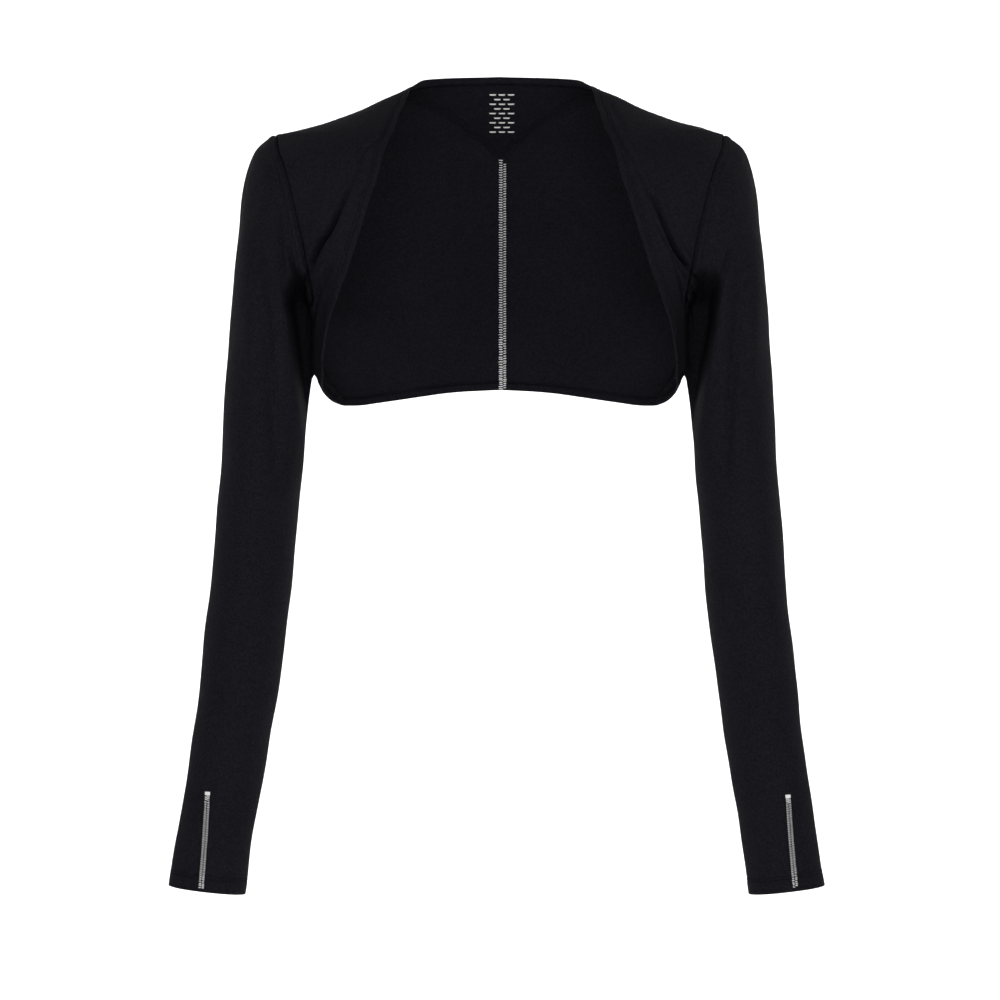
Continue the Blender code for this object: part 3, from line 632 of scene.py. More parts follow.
def shell(name, outer, inner, cloth, round_first=False, round_last=False, closed=False):
    """A thin wall between two grids, with rounded rims at its first and last rows where asked.

    cloth holds the place of each point in the flat cloth, in metres. A closed wall joins its last column
    to its first, and cloth then has one column more.
    """
    rows, flat = [*outer], [*cloth]
    if round_last:
        rows += rim(outer[-1], inner[-1], outer[-2])
        flat += [cloth[-1]] * ARC_STEPS
    rows += [*inner[::-1]]
    flat += [*cloth[::-1]]
    if round_first:
        rows += rim(inner[0], outer[0], inner[1])
        flat += [cloth[0]] * ARC_STEPS
    points, flat = np.array(rows), np.array(flat)
    count, columns = points.shape[:2]
    steps = np.arange(columns if closed else columns - 1)
    row, column = np.meshgrid(np.arange(count), steps, indexing="ij")
    below, beside = (row + 1) % count, (column + 1) % columns
    ways = ((row, column, column), (row, beside, column + 1),
            (below, beside, column + 1), (below, column, column))
    faces = np.stack([line * columns + at for line, at, _ in ways], axis=-1).reshape(-1, 4)
    corners = np.stack([flat[line, at] for line, _, at in ways], axis=2).reshape(-1, 2)
    if not closed:
        lift = np.arange(len(outer) - 1)
        partner = count - (ARC_STEPS if round_first else 0) - 1 - lift
        cap = np.stack([lift, lift + 1, partner - 1, partner], axis=-1) * columns
        for end in (cap[:, ::-1], cap + columns - 1):
            faces = np.concatenate([faces, end])
            corners = np.concatenate([corners, flat.reshape(-1, 2)[end.ravel()]])
    points = points.reshape(-1, 3)
    first, second, third = points[faces[:, :3]].swapaxes(0, 1)
    if np.einsum("ij,ij->i", first, np.cross(second, third)).sum() < 0:
        faces = faces[:, ::-1]
        corners = corners.reshape(-1, 4, 2)[:, ::-1]
    return make_mesh(name, points, faces.tolist(), corners)


def cloth_places(points):
    """Places in the flat cloth of a grid of points, by its own lengths down and across."""
    steps = (np.diff(points, axis=1, prepend=points[:, :1]), np.diff(points, axis=0, prepend=points[:1]))
    across, down = (np.linalg.norm(step, axis=2).cumsum(axis=1 - axis) for axis, step in enumerate(steps))
    return np.stack([across, down], axis=-1)


def round_about(rows):
    """A closed grid with its first column again at its end."""
    return np.concatenate([rows, rows[:, :1]], axis=1)


def wall(distance, width, slack):
    """The thickness of cloth that is turned in over a width beside its edge."""
    return CLOTH + (TURNED - CLOTH) * (1 - smooth(distance, width - 0.2 * MM, width + slack))


def body_cloth(grid, side):
    """Places in the flat cloth of a body panel, with its wales upright."""
    reach = np.linspace(0, math.pi, 200)
    level = form_point(np.stack([reach, np.full(200, -0.10)], axis=-1))
    across = np.interp(grid[..., 0], reach, lengths_of(level))
    return np.stack([across * (-1 if side == "left" else 1), grid[..., 1]], axis=-1)


def panel(grid, side):
    """The outer and inner grids of a body panel."""
    points = closer(stand(form_point(grid), side), BODY_OUT, 0.1495, 0.1560)
    outward = on_side(form_outward(form_point(grid)), side)
    lines = LINES[side]
    edge_distance, edge_place = lines["edge"].near(points)
    armhole_distance, _ = lines["armhole"].near(points)
    lift = fold_lift(points, outward, side) * smooth(edge_distance, -3 * MM, 12 * MM)
    lift *= smooth(armhole_distance, 0, SEAM_FADE)
    lift += rest_lift(points) * smooth(edge_distance, 0, 15 * MM)
    lift += turned_lift(edge_distance, edge_place, EDGE_TURN)
    for seam in ("armhole", "shoulder", "side"):
        lift += seam_lift(*lines[seam].near(points))
    outer = points + outward * lift[..., None]
    normals = grid_outward(outer, outward)
    return outer, outer - normals * wall(edge_distance, EDGE_TURN, 0.5 * MM)[..., None]


def back_panel(side):
    side_seam = spaced([SIDE_HEM_END, UNDERARM], fine_shares(SIDE_SEAM_LENGTH, FINE_EDGE))
    armhole = armhole_line(False, fine_shares(ARMHOLE_LENGTH, step=1.8 * MM))[::-1]
    shoulder = spaced([SHOULDER_POINT, NECK_POINT], fine_shares(SHOULDER_LENGTH, 0, FINE_EDGE))
    outer_edge = np.concatenate([side_seam, armhole[1:], shoulder[1:]])
    fine = round(FINE_EDGE / FINE_STEP)
    middle = FINE_EDGE + (CENTRE_LENGTH - 2 * FINE_EDGE) * even(len(outer_edge) - 2 * fine - 1)
    end = CENTRE_LENGTH - FINE_EDGE + FINE_EDGE * even(fine)[1:]
    centre_shares = np.concatenate([FINE_EDGE * even(fine)[:-1], middle, end]) / CENTRE_LENGTH
    centre = spaced([(0.0, CENTRE_FOOT_Z), (0.0, CENTRE_TOP_Z)], centre_shares)
    across = fine_shares(0.18, FINE_SEAM, FINE_SEAM)
    hem = spaced(HEM_ROUTE, 1 - across[::-1])[::-1]
    neck = spaced(NECK_ROUTE, across)
    grid = patch(centre, outer_edge, hem, neck)
    name = "back_" + side + "_cloth"
    return shell(name, *panel(grid, side), body_cloth(grid, side), round_first=True, round_last=True)


def front_panel(side):
    across = fine_shares(SHOULDER_LENGTH, FINE_EDGE, FINE_SEAM, step=1.05 * MM)
    down = fine_shares(ARMHOLE_LENGTH, FINE_SEAM, FINE_SEAM, step=0.72 * MM)
    edge = evened(FRONT_ROUTE, down)
    armhole = armhole_line(True, down)
    shoulder = spaced([NECK_POINT, SHOULDER_POINT], across)
    side_seam = spaced([SIDE_HEM_END, UNDERARM], across)
    grid = np.swapaxes(patch(edge, armhole, shoulder, side_seam), 0, 1)
    name = "front_" + side + "_cloth"
    return shell(name, *panel(grid, side), body_cloth(grid, side), round_first=True)


def armhole_shape(on_front):
    """Half of the armhole as shares of its half height, its half depth and its bow out of plane."""
    points = form_point(armhole_line(on_front, even(HALF_RING_STEPS)))
    arm = (points[0] - points[-1]) / 2
    arm[1] = 0
    half_height = np.linalg.norm(arm)
    offset = points - (points[0] + points[-1]) / 2
    reach = offset @ arm / half_height**2
    bow = offset @ np.array([-arm[2], 0, arm[0]]) / half_height**2
    middle = np.linspace(points[0, 1], points[-1, 1], len(points))
    return np.stack([reach, np.abs(points[:, 1] - middle) / ARMHOLE_HALF_DEPTH, bow], axis=1)


def oval_shape(power):
    """Half of a superellipse as shares of its half height and its half depth, at even steps."""
    turn = math.pi * even(720)
    reach = np.abs(np.cos(turn)) ** (2 / power) * np.sign(np.cos(turn))
    bulge = np.abs(np.sin(turn)) ** (2 / power)
    lengths = lengths_of(np.stack([reach, bulge], axis=1))
    wanted = even(HALF_RING_STEPS) * lengths[-1]
    shape = [np.interp(wanted, lengths, reach), np.interp(wanted, lengths, bulge)]
    return np.stack(shape + [np.zeros(len(wanted))], axis=1)


def ring_half(ring, on_front, shape_of_armhole):
    """Half of a sleeve ring, from its outer point to its inner one."""
    share = ring.armhole_share
    shape = share * shape_of_armhole + (1 - share) * oval_shape(ring.power)
    centre = np.array([ring.outer_x + ring.inner_x, 0, ring.outer_z + ring.inner_z]) / 2
    arm = np.array([ring.outer_x - ring.inner_x, 0, ring.outer_z - ring.inner_z]) / 2
    across = np.array([-arm[2], 0, arm[0]])
    points = centre + np.outer(shape[:, 0], arm) + np.outer(shape[:, 2], across)
    points[:, 1] = ring.middle + shape[:, 1] * ring.half_depth * (-1 if on_front else 1)
    return points


def joined_ring(front, back):
    """One ring from its front and back halves, starting at the inner point."""
    return np.concatenate([front[::-1], back[1:-1]])


def sleeve_points(side):
    shapes = {on_front: armhole_shape(on_front) for on_front in (True, False)}
    halves = [form_point(armhole_line(on_front, even(HALF_RING_STEPS))) for on_front in (True, False)]
    rings = [joined_ring(*halves) + np.array([SEAM_GAP, 0, 0])]
    for ring in SLEEVE_RINGS:
        rings.append(joined_ring(ring_half(ring, True, shapes[True]), ring_half(ring, False, shapes[False])))
    middles = np.array([ring.mean(axis=0) for ring in rings])
    chords = np.linalg.norm(np.diff(middles, axis=0), axis=1)
    keys = np.concatenate([[0.0], np.cumsum(np.sqrt(chords))])
    dense_keys = np.linspace(0, keys[-1], 4000)
    lengths = lengths_of(spline(keys, middles, dense_keys))
    wanted = lengths[-1] * np.concatenate([
        ARM_START * even(34)[:-1] ** 1.15,
        ARM_START + (CUFF_START - ARM_START) * even(205),
        CUFF_START + (1 - CUFF_START) * even(24)[1:],
    ])
    at = np.interp(wanted, lengths, dense_keys)
    points = spline(keys, np.array(rings).reshape(len(rings), -1), at).reshape(len(at), -1, 3)
    drop = np.clip(points[..., 2] / SLEEVE_RINGS[-1].inner_z, 0, 1)
    points[..., 0] += SLEEVE_LEAN[side] * drop**2
    return points


def tube_outward(points):
    round_it = np.roll(points, -1, axis=1) - np.roll(points, 1, axis=1)
    outward = unit(np.cross(round_it, np.gradient(points, axis=0)))
    from_middle = points - points.mean(axis=1, keepdims=True)
    return outward * np.sign((outward * from_middle).sum(axis=-1).mean())


SLEEVE_SKINS = {}


def sleeve(side):
    half = sleeve_points(side)
    tube = tube_outward(half)
    points = stand(half, side)
    distance, place = LINES[side]["armhole"].near(points)
    inner_side = smooth(0.180 - half[..., 0], 0.0, 0.016)
    shift = closer(half, SLEEVE_IN, 0.10, 0.11) - half
    points = points + on_side(shift, side) * inner_side[..., None]
    points = hollowed(points, side, distance)
    own = form_outward(half)
    share = smooth(distance, 0, 14 * MM)[..., None]
    outward = on_side(unit(share * tube + (1 - share) * own), side)
    cuff_distance, cuff_place = Line(points[-1]).near(points)
    lift = fold_lift(points, outward, side) * smooth(cuff_distance, 0, 60 * MM)
    lift *= smooth(distance, 0, SEAM_FADE)
    lift += rest_lift(points) * smooth(distance, 0, 20 * MM)
    lift += sleeve_seam_lift(distance, place) * (1 - 0.85 * smooth(-points[..., 2], 0.085, 0.120))
    lift += turned_lift(cuff_distance, cuff_place, CUFF_TURN)
    outer = points + outward * lift[..., None]
    normals = grid_outward(outer, on_side(tube, side), closed=True)
    inner = outer - normals * wall(cuff_distance, CUFF_TURN, 0.6 * MM)[..., None]
    cloth = cloth_places(round_about(points))
    SLEEVE_SKINS[side] = (outer, inner, normals, distance, cuff_distance)
    return shell("sleeve_" + side + "_cloth", outer, inner, cloth, round_last=True, closed=True)


FACING_SKIN = []


def facing():
    """The V-shaped facing inside the back neck."""
    angles = np.linspace(-FACING_END, FACING_END, 150)
    top, foot = (
        spline(*np.transpose(line), np.abs(angles)) for line in (NECK_ROUTE, places(FACING_EDGE))
    )
    top = top - EDGE_TURN + 0.6 * MM
    heights = top + (foot - top) * even(60)[:, None]
    points = form_point(np.stack([np.broadcast_to(np.abs(angles), heights.shape), heights], axis=-1))
    mirrored = np.broadcast_to(angles[:, None] < 0, points.shape)
    outward = np.where(mirrored, on_side(form_outward(points), "left"), form_outward(points))
    points = np.where(mirrored, stand(points, "left"), stand(points, "right"))
    distance, place = Line(points[-1]).near(points)
    lift = 1.5 * turned_lift(distance, place, FACING_NEEDLES[1])
    gap = FACING_GAP + FACING_RISE * (1 - smooth(distance, 0, 5 * MM))
    outer = points - outward * (CLOTH + gap)[..., None]
    inner = outer - outward * (FACING_CLOTH + lift)[..., None]
    cloth = np.stack([points[..., 0], points[..., 2]], axis=-1)
    FACING_SKIN.extend([inner, -outward, distance])
    return shell("back_neck_facing_cloth", outer, inner, cloth, round_last=True)


class Graph:
    """The nodes of a new material, with short ways to add to them."""

    def __init__(self, name):
        self.material = bpy.data.materials.new(name)
        self.material.use_nodes = True
        self.shader = self.material.node_tree.nodes["Principled BSDF"]

    def feed(self, node, inputs):
        """Sets a node's inputs: sockets are linked and all else is a value of its own."""
        for key, value in inputs.items():
            if isinstance(value, bpy.types.NodeSocket):
                self.material.node_tree.links.new(value, node.inputs[key])
            else:
                node.inputs[key].default_value = value
        return node

    def add(self, kind, inputs, **settings):
        node = self.material.node_tree.nodes.new("ShaderNode" + kind)
        for key, value in settings.items():
            setattr(node, key, value)
        return self.feed(node, inputs)

    def calc(self, operation, *values):
        return self.add("Math", dict(enumerate(values)), operation=operation).outputs[0]

    def noise(self, scale, detail=2.0):
        place = self.add("TexCoord", {}).outputs["Object"]
        return self.add("TexNoise", {"Vector": place, "Scale": scale, "Detail": detail}).outputs["Fac"]

    def finish(self, height, strength, depth, inputs):
        bump = self.add("Bump", {"Height": height, "Strength": strength, "Distance": depth})
        self.feed(self.shader, {"Normal": bump.outputs["Normal"], **inputs})
        return self.material


WALE = 0.62 * MM  # width of one knitted stitch
COURSE = 0.50 * MM  # and its height


def jersey(name, colour, lighter):
    """A fine knit: columns of V-shaped stitches, a little uneven, with a soft nap."""
    graph = Graph(name)
    calc = graph.calc
    apart = graph.add("SeparateXYZ", {0: graph.add("UVMap", {}, uv_map="cloth").outputs["UV"]}).outputs
    drift = calc("MULTIPLY", graph.noise(160.0), 0.35)
    leg = calc("PINGPONG", calc("ADD", calc("DIVIDE", apart[0], WALE), drift), 0.5)
    rise = calc("SINE", calc("MULTIPLY", leg, 2 * math.pi))
    course = calc("ADD", calc("DIVIDE", apart[1], COURSE), calc("MULTIPLY", leg, 1.1))
    wave = calc("COSINE", calc("MULTIPLY", course, 2 * math.pi))
    knit = calc("MULTIPLY", rise, calc("ADD", calc("MULTIPLY", wave, 0.28), 0.72))
    nap = calc("MULTIPLY", graph.noise(900.0, 3.0), 0.9)
    grain = graph.add("MapRange", {"Value": graph.noise(620.0, 1.0), "From Min": 0.34, "From Max": 0.66})
    patches = calc("MULTIPLY", graph.noise(22.0, 4.0), 0.25)
    # The knit's height also sets the tone: painted light on the stitches' raised loops and painted shade in
    # the gaps between them, beside the bump that raises them.
    mixed = calc("ADD", calc("MULTIPLY", knit, 0.2), patches)
    mixed = calc("ADD", mixed, calc("MULTIPLY", grain.outputs["Result"], 0.55))
    tone = graph.add("Mix", {0: mixed, 6: colour, 7: lighter}, data_type="RGBA")
    return graph.finish(calc("ADD", knit, nap), 0.55, 0.16 * MM, {
        "Base Color": tone.outputs[2], "Roughness": 0.88, "Specular IOR Level": 0.03,
    })


def thread(name, colour, roughness=0.7, gloss=0.3, sheen=0.15):
    """Spun thread, with the slight bands of its twist."""
    graph = Graph(name)
    return graph.finish(graph.noise(3200.0), 0.4, 0.08 * MM, {
        "Base Color": colour, "Roughness": roughness, "Specular IOR Level": gloss, "Sheen Weight": sheen,
    })


MATERIALS = {
    "body_jersey": jersey("body_jersey", (0.0066, 0.0063, 0.0090, 1.0), (0.0158, 0.0151, 0.0200, 1.0)),
    # The facing wears a darker copy of the body's jersey: painted shade on the facing inside the back neck.
    "facing_jersey": jersey("facing_jersey", (0.0056, 0.0052, 0.0076, 1.0), (0.0130, 0.0122, 0.0164, 1.0)),
    "white_thread": thread("white_thread", (0.93, 0.93, 0.92, 1.0)),
    "black_thread": thread("black_thread", (0.0048, 0.0045, 0.0062, 1.0), 0.8, gloss=0.04, sheen=0.0),
    "white_print": thread("white_print", (0.78, 0.78, 0.76, 1.0), 0.8),
}


def keep(piece, slot):
    piece.data.materials.clear()
    piece.data.materials.append(MATERIALS[slot])
    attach(piece, "root")
    return piece


class Skin:
    """The surface of some pieces, which lines of sewing are laid on."""

    def __init__(self, *laid_on):
        depsgraph = bpy.context.evaluated_depsgraph_get()
        self.trees = [BVHTree.FromObject(piece, depsgraph) for piece in laid_on]

    def meet(self, points, toward):
        """Where rays that run toward the skin past the points first meet it, and its direction there."""
        found = np.array(points, float)
        ups = -np.array(toward, float)
        for index, (point, way) in enumerate(zip(points, toward)):
            start = Vector(point - way * CAST_REACH)
            nearest = 2 * CAST_REACH
            for tree in self.trees:
                place, normal, _, distance = tree.ray_cast(start, Vector(way), nearest)
                if place is not None and distance < nearest:
                    nearest = distance
                    found[index] = place
                    ups[index] = normal if normal.dot(Vector(way)) < 0 else -normal
        return found, ups


def scatter(count, seed):
    """Values between -1 and 1 that follow no order and are the same each time."""
    return np.random.default_rng(seed).uniform(-1, 1, count)


def lay(name, slot, paths, ups, radii, flat=1.0):
    """Threads along paths, one for each row, flattened toward the cloth where flat is below 1."""
    threads, count = paths.shape[:2]
    tangents = unit(np.gradient(paths, axis=1))
    across = unit(np.cross(tangents, ups))
    rises = unit(np.cross(across, tangents))
    turns = 2 * math.pi * np.arange(THREAD_SIDES) / THREAD_SIDES
    ring = (
        np.cos(turns)[:, None] * across[:, :, None]
        + flat * np.sin(turns)[:, None] * rises[:, :, None]
    )
    radii = np.broadcast_to(radii, (threads, count))
    points = (paths[:, :, None] + ring * radii[:, :, None, None]).reshape(-1, 3)
    step, turn = np.meshgrid(np.arange(count - 1), np.arange(THREAD_SIDES), indexing="ij")
    here = step * THREAD_SIDES
    there = here + THREAD_SIDES
    after = (turn + 1) % THREAD_SIDES
    sides = np.stack([here + turn, there + turn, there + after, here + after], axis=-1).reshape(-1, 4)
    offsets = np.arange(threads) * count * THREAD_SIDES
    faces = (sides[None] + offsets[:, None, None]).reshape(-1, 4).tolist()
    first = np.arange(THREAD_SIDES)
    for offset in offsets:
        faces += [(first + offset).tolist(), (first[::-1] + (count - 1) * THREAD_SIDES + offset).tolist()]
    return keep(make_mesh(name, points, faces), slot)


def read_line(line, positions):
    """Points and directions of a line of (points, directions) at given lengths along it."""
    place, way = (read(values, lengths_of(line[0]), positions.ravel()) for values in line)
    return place, unit(way)


def stitches(line, skin=None, pitch=STITCH, radius=THREAD_RADIUS):
    """Paths of running stitches along a line, and the directions that lead up from the cloth.

    Where a skin is given, the line's directions lead toward it. Else they lead up from the cloth.
    """
    count = int(lengths_of(line[0])[-1] / pitch)
    positions = pitch * (np.arange(count)[:, None] + STITCH_SHARES)
    place, way = read_line(line, positions)
    found, ups = skin.meet(place, way) if skin else (place, way)
    lifts = np.tile(STITCH_LIFTS * radius, count)[:, None]
    return (found + ups * lifts).reshape(count, -1, 3), ups.reshape(count, -1, 3)


def zigzag(points, across, toward, skin, near, far, pitch):
    """One thread that runs to and fro beside a line, between near and far from it."""
    positions = np.arange(ZIGZAG_STEP, lengths_of(points)[-1], ZIGZAG_STEP)
    place, way = read_line((points, toward), positions)
    beside = read_line((points, across), positions)[1]
    swing = np.clip(1.5 * np.sin(2 * math.pi * positions / pitch), -1, 1)
    place = place + beside * ((near + far) / 2 + (far - near) / 2 * swing)[:, None]
    found, ups = skin.meet(place, way)
    return (found + ups * 0.5 * THREAD_RADIUS)[None], ups[None]


def sew(name, *made, radius=THREAD_RADIUS):
    """One piece of black thread from sets of paths and directions."""
    paths, ups = (np.concatenate(parts) for parts in zip(*made))
    return lay(name, "black_thread", paths, ups, radius)


def strip(name, points, across, toward, near, far, skin):
    """A seam allowance: a narrow band of cloth on the inner skin beside a line."""
    reach = np.linspace(near, far, 6)
    place = points[None] + across[None] * reach[:, None, None]
    ways = np.broadcast_to(toward, place.shape).reshape(-1, 3)
    found, _ = skin.meet(place.reshape(-1, 3), ways)
    found = found.reshape(place.shape)
    for _ in range(2):
        found[:, 1:-1] = (found[:, :-2] + found[:, 1:-1] + found[:, 2:]) / 3
    ups = grid_outward(found, -np.broadcast_to(toward, place.shape))
    low = found + ups * 0.02 * MM
    high = low + ups * STRIP_CLOTH
    band = shell(name, high, low, cloth_places(found), round_first=True, round_last=True)
    return keep(band, "body_jersey")


def contour(grid, ups, distance, wanted):
    """Each column's point and direction at a distance from an edge."""
    rows = []
    for column in range(grid.shape[1]):
        order = np.argsort(distance[:, column])
        values = np.concatenate([grid[order, column], ups[order, column]], axis=1)
        rows.append(read(values, distance[order, column], [wanted])[0])
    rows = np.array(rows)
    return rows[:, :3], unit(rows[:, 3:])


def looped(line):
    return tuple(np.concatenate([part, part[:1]]) for part in line)


def armhole_allowance(side):
    """The armhole's allowance, a band round the inside of the seam, mostly in the sleeve."""
    _, *skin, _ = (grid[:END_ROWS] for grid in SLEEVE_SKINS[side])
    points, ups = zip(*(contour(*skin, reach * MM) for reach in TAPE_ROWS))
    step = (points[0] - points[1]) / 2
    points = np.array([points[0] + step * 2.4, points[0] + step * 1.2, *points])
    ups = np.array([ups[0], ups[0], *ups])
    high = points - ups * 0.03 * MM
    low = high - ups * STRIP_CLOTH
    cloth = cloth_places(round_about(high))
    name = "armhole_allowance_" + side
    band = shell(name, high, low, cloth, round_first=True, round_last=True, closed=True)
    return keep(band, "body_jersey")


def bars(centres, across, toward, skin, radius, ends=-0.7):
    """Short bars of thread, each from its centre to both ends of its across vector."""
    shares = np.array([-1.0, -0.75, 0.0, 0.75, 1.0])
    place = centres[:, None] + across[:, None] * shares[:, None]
    found, ups = skin.meet(place.reshape(-1, 3), np.repeat(toward, len(shares), axis=0))
    found, ups = found.reshape(place.shape), ups.reshape(place.shape)
    radius = np.broadcast_to(radius, len(centres))[:, None, None]
    return found + ups * (np.array([ends, 0.35, 0.65, 0.35, ends])[:, None] * radius), ups


def ladder(name, line, across, toward, skin, columns, seed):
    """Rows of white bars in columns down a line, wilder and closer together towards its foot."""
    total = lengths_of(line)[-1]
    for number, column in enumerate(columns):
        count = int(1.2 * (total - column.start) / column.pitch)
        crowd = 1 - 0.16 * smooth(np.arange(count) / count, 0.72, 0.82)
        positions = column.start + np.cumsum(crowd) * column.pitch
        positions = positions[positions < total]
        count = len(positions)
        wild = 0.25 + 0.75 * smooth(positions / total, 0.70, 0.85)
        positions = positions + 0.30 * MM * scatter(count, seed + number) * wild
        place, way = read_line((line, toward), positions)
        beside = read_line((line, across), positions)[1]
        down = unit(np.gradient(place, axis=0))
        offset = column.offset + 0.16 * MM * scatter(count, seed + 10 + number) * wild
        half = column.half * (1 + 0.16 * scatter(count, seed + 20 + number))
        tilt = column.tilt + 0.16 * scatter(count, seed + 30 + number) * wild
        reach = (beside + down * tilt[:, None]) * half[:, None]
        radius = column.radius * (1 + 0.12 * scatter(count, seed + 40 + number))
        radius = radius * (1 + 0.18 * smooth(positions / total, 0.74, 0.84))
        paths, ups = bars(place + beside * offset[:, None], reach, way, skin, radius)
        lay(name + "_bars_" + str(number), "white_thread", paths, ups, radius[:, None])
        middle = (place[1:] + place[:-1]) / 2 + beside[1:] * (offset[1:] + 0.35 * half[1:])[:, None]
        paths, ups = bars(middle, (place[1:] - place[:-1]) * 0.62, way[1:], skin, column.link, ends=0.2)
        lay(name + "_links_" + str(number), "white_thread", paths, ups, column.link)


def cast_seen(stations, skin):
    """Where stations, in millimetres as seen, show on a skin, and the directions from the eye."""
    x, z = np.transpose(stations) * MM
    found = np.stack([x, np.zeros(len(x)), z], axis=1)
    ways = unit(found - EYE)
    for index, way in enumerate(ways):
        for tree in skin.trees:
            place = tree.ray_cast(Vector(EYE), Vector(way), 8.0)[0]
            if place is not None:
                found[index] = place
    return found, ways


# The pieces of cloth
pieces = {}
for side in SIDES:
    for name, make in (("back_", back_panel), ("front_", front_panel), ("sleeve_", sleeve)):
        pieces[name + side] = keep(make(side), "body_jersey")
        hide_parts(name + side)
pieces["back_neck_facing"] = keep(facing(), "facing_jersey")
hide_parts("back_neck_facing")

# Their sewing
EDGE_OUTWARD = form_outward(EDGE_POINTS)
EDGE_INTO = unit(np.cross(EDGE_OUTWARD, np.gradient(EDGE_POINTS, axis=0)))
EDGE_NEEDLES = (EDGE_TURN - NEEDLES_APART, EDGE_TURN)
CUFF_NEEDLES = (CUFF_TURN - NEEDLES_APART, CUFF_TURN)
# Allowances of a seam, which lie towards the back: the shares of the seam where they start and end
ALLOWANCES = {"side": (0.06, 0.97), "shoulder": (0.09, 0.95)}
STRIPS = {name: [] for name in pieces}
for side in SIDES:
    body = [pieces["back_" + side], pieces["front_" + side]]
    outside, inside = Skin(*body), Skin(*body, pieces["back_neck_facing"])
    edge = stand(EDGE_POINTS, side)
    outward, into = on_side(EDGE_OUTWARD, side), on_side(EDGE_INTO, side)
    rows = [stitches((edge + into * inset, -outward), outside) for inset in EDGE_NEEDLES]
    sew("edge_stitches_" + side, *rows)
    sew("edge_looper_" + side + "_0", zigzag(edge, into, outward, inside, *EDGE_NEEDLES, STITCH))

    for seam, (start, end) in ALLOWANCES.items():
        line = LINES[side][seam].points
        line = line[int(start * len(line)):int(end * len(line)):9]
        along_line = unit(np.gradient(line, axis=0))
        across = unit(BACKWARD - (along_line @ BACKWARD)[:, None] * along_line)
        ways = on_side(form_outward(on_side(line, side)), side)
        name = seam + "_allowance_" + side
        STRIPS["back_" + side].append(strip(name, line, across, ways, 0.4 * MM, 5.6 * MM, inside))
        over = Skin(STRIPS["back_" + side][-1], *body)
        edging = zigzag(line, across, ways, over, 3.0 * MM, 5.7 * MM, 1.3 * MM)
        sew(seam + "_overlock_" + side + "_0", edging, radius=OVERLOCK_RADIUS)

    STRIPS["sleeve_" + side].append(armhole_allowance(side))
    outer, inner, normals, distance, _ = (grid[:END_ROWS] for grid in SLEEVE_SKINS[side])
    rows = [stitches(looped(contour(outer, normals, distance, inset))) for inset in ARMHOLE_NEEDLES]
    sew("armhole_stitches_" + side, *rows)
    outer, inner, normals, _, distance = (grid[-END_ROWS:] for grid in SLEEVE_SKINS[side])
    rows = [stitches(looped(contour(outer, normals, distance, inset))) for inset in CUFF_NEEDLES]
    sew("cuff_stitches_" + side, *rows)
    (down, _), (points, ups) = (looped(contour(inner, -normals, distance, inset)) for inset in CUFF_NEEDLES)
    in_sleeve = Skin(pieces["sleeve_" + side])
    looper = zigzag(points, unit(down - points), -ups, in_sleeve, 0.0, NEEDLES_APART, STITCH)
    sew("cuff_looper_" + side + "_0", looper)
sew("facing_stitches", *[stitches(contour(*FACING_SKIN, inset)) for inset in FACING_NEEDLES])

# The centre back seam: its allowance lies to the right, under a ladder of white thread
LADDER_TOP, LADDER_FOOT = -0.0132, -0.2114
LADDER_STEPS = 130


def centre_line(top, foot):
    heights = np.linspace(top, foot, LADDER_STEPS)
    return form_point(np.stack([np.zeros(LADDER_STEPS), heights], axis=1))


backs = [pieces["back_left"], pieces["back_right"]]
to_right, to_back = (np.tile(way, (LADDER_STEPS, 1)) for way in (RIGHTWARD, BACKWARD))
line = centre_line(LADDER_TOP + 1.5 * MM, LADDER_FOOT + 0.4 * MM)
allowance = strip("centre_back_allowance", line, to_right, to_back, -0.7 * MM, 5.9 * MM, Skin(*backs))
STRIPS["back_right"].append(allowance)
Column = namedtuple("Column", "offset half start pitch radius tilt link")
CENTRE_COLUMNS = (
    Column(1.1 * MM, 1.50 * MM, 0.0, 2.16 * MM, 0.43 * MM, 0.08, 0.07 * MM),
    Column(4.5 * MM, 1.10 * MM, 3.4 * MM, 2.16 * MM, 0.40 * MM, -0.12, 0.07 * MM),
)
line = centre_line(LADDER_TOP, LADDER_FOOT)
ladder("centre_ladder", line, to_right, to_back, Skin(allowance, *backs), CENTRE_COLUMNS, 3)

# White ladders up the cuffs, in millimetres as seen, each with the seed of its unevenness
CUFF_LADDERS = {
    "left": (60, ((-245.3, -552.3), (-247.4, -590.1), (-250.7, -633.0))),
    "right": (90, ((242.3, -554.8), (245.1, -593.5), (248.6, -632.5))),
}
CUFF_COLUMNS = (
    Column(-1.20 * MM, 0.80 * MM, 6.4 * MM, 1.95 * MM, 0.34 * MM, 0.12, 0.06 * MM),
    Column(1.20 * MM, 0.80 * MM, 7.0 * MM, 1.95 * MM, 0.34 * MM, -0.12, 0.06 * MM),
)
# The close bars at the top of each and the slanted ones below: start, pitch, half width and radius in
# millimetres, their number and how far each half slants
Tack = namedtuple("Tack", "name start pitch half radius count slant")
TACKS = (Tack("tack", 0.0, 0.30, 2.1, 0.27, 9, 0.0), Tack("cross", 3.1, 0.85, 1.9, 0.24, 5, 1.1))
for side, (seed, stations) in CUFF_LADDERS.items():
    skin = Skin(pieces["sleeve_" + side])
    line, ways = cast_seen(along(stations, even(60)), skin)
    down = unit(np.gradient(line, axis=0))
    across = unit(np.cross(down, ways)) * (1 if side == "left" else -1)
    ladder("cuff_ladder_" + side, line, across, ways, skin, CUFF_COLUMNS, seed)
    for tack in TACKS:
        lengths = (tack.start + np.arange(tack.count) * tack.pitch) * MM
        (place, way), (_, beside), (_, below) = (
            read_line((line, directions), lengths) for directions in (ways, across, down)
        )
        slope = np.where(np.arange(tack.count) % 2 == 0, 1.0, -1.0)[:, None] * tack.slant * MM
        reach = beside * tack.half * MM + below * slope
        paths, ups = bars(place, reach, way, skin, tack.radius * MM)
        lay("cuff_" + tack.name + "_" + side, "white_thread", paths, ups, tack.radius * MM)

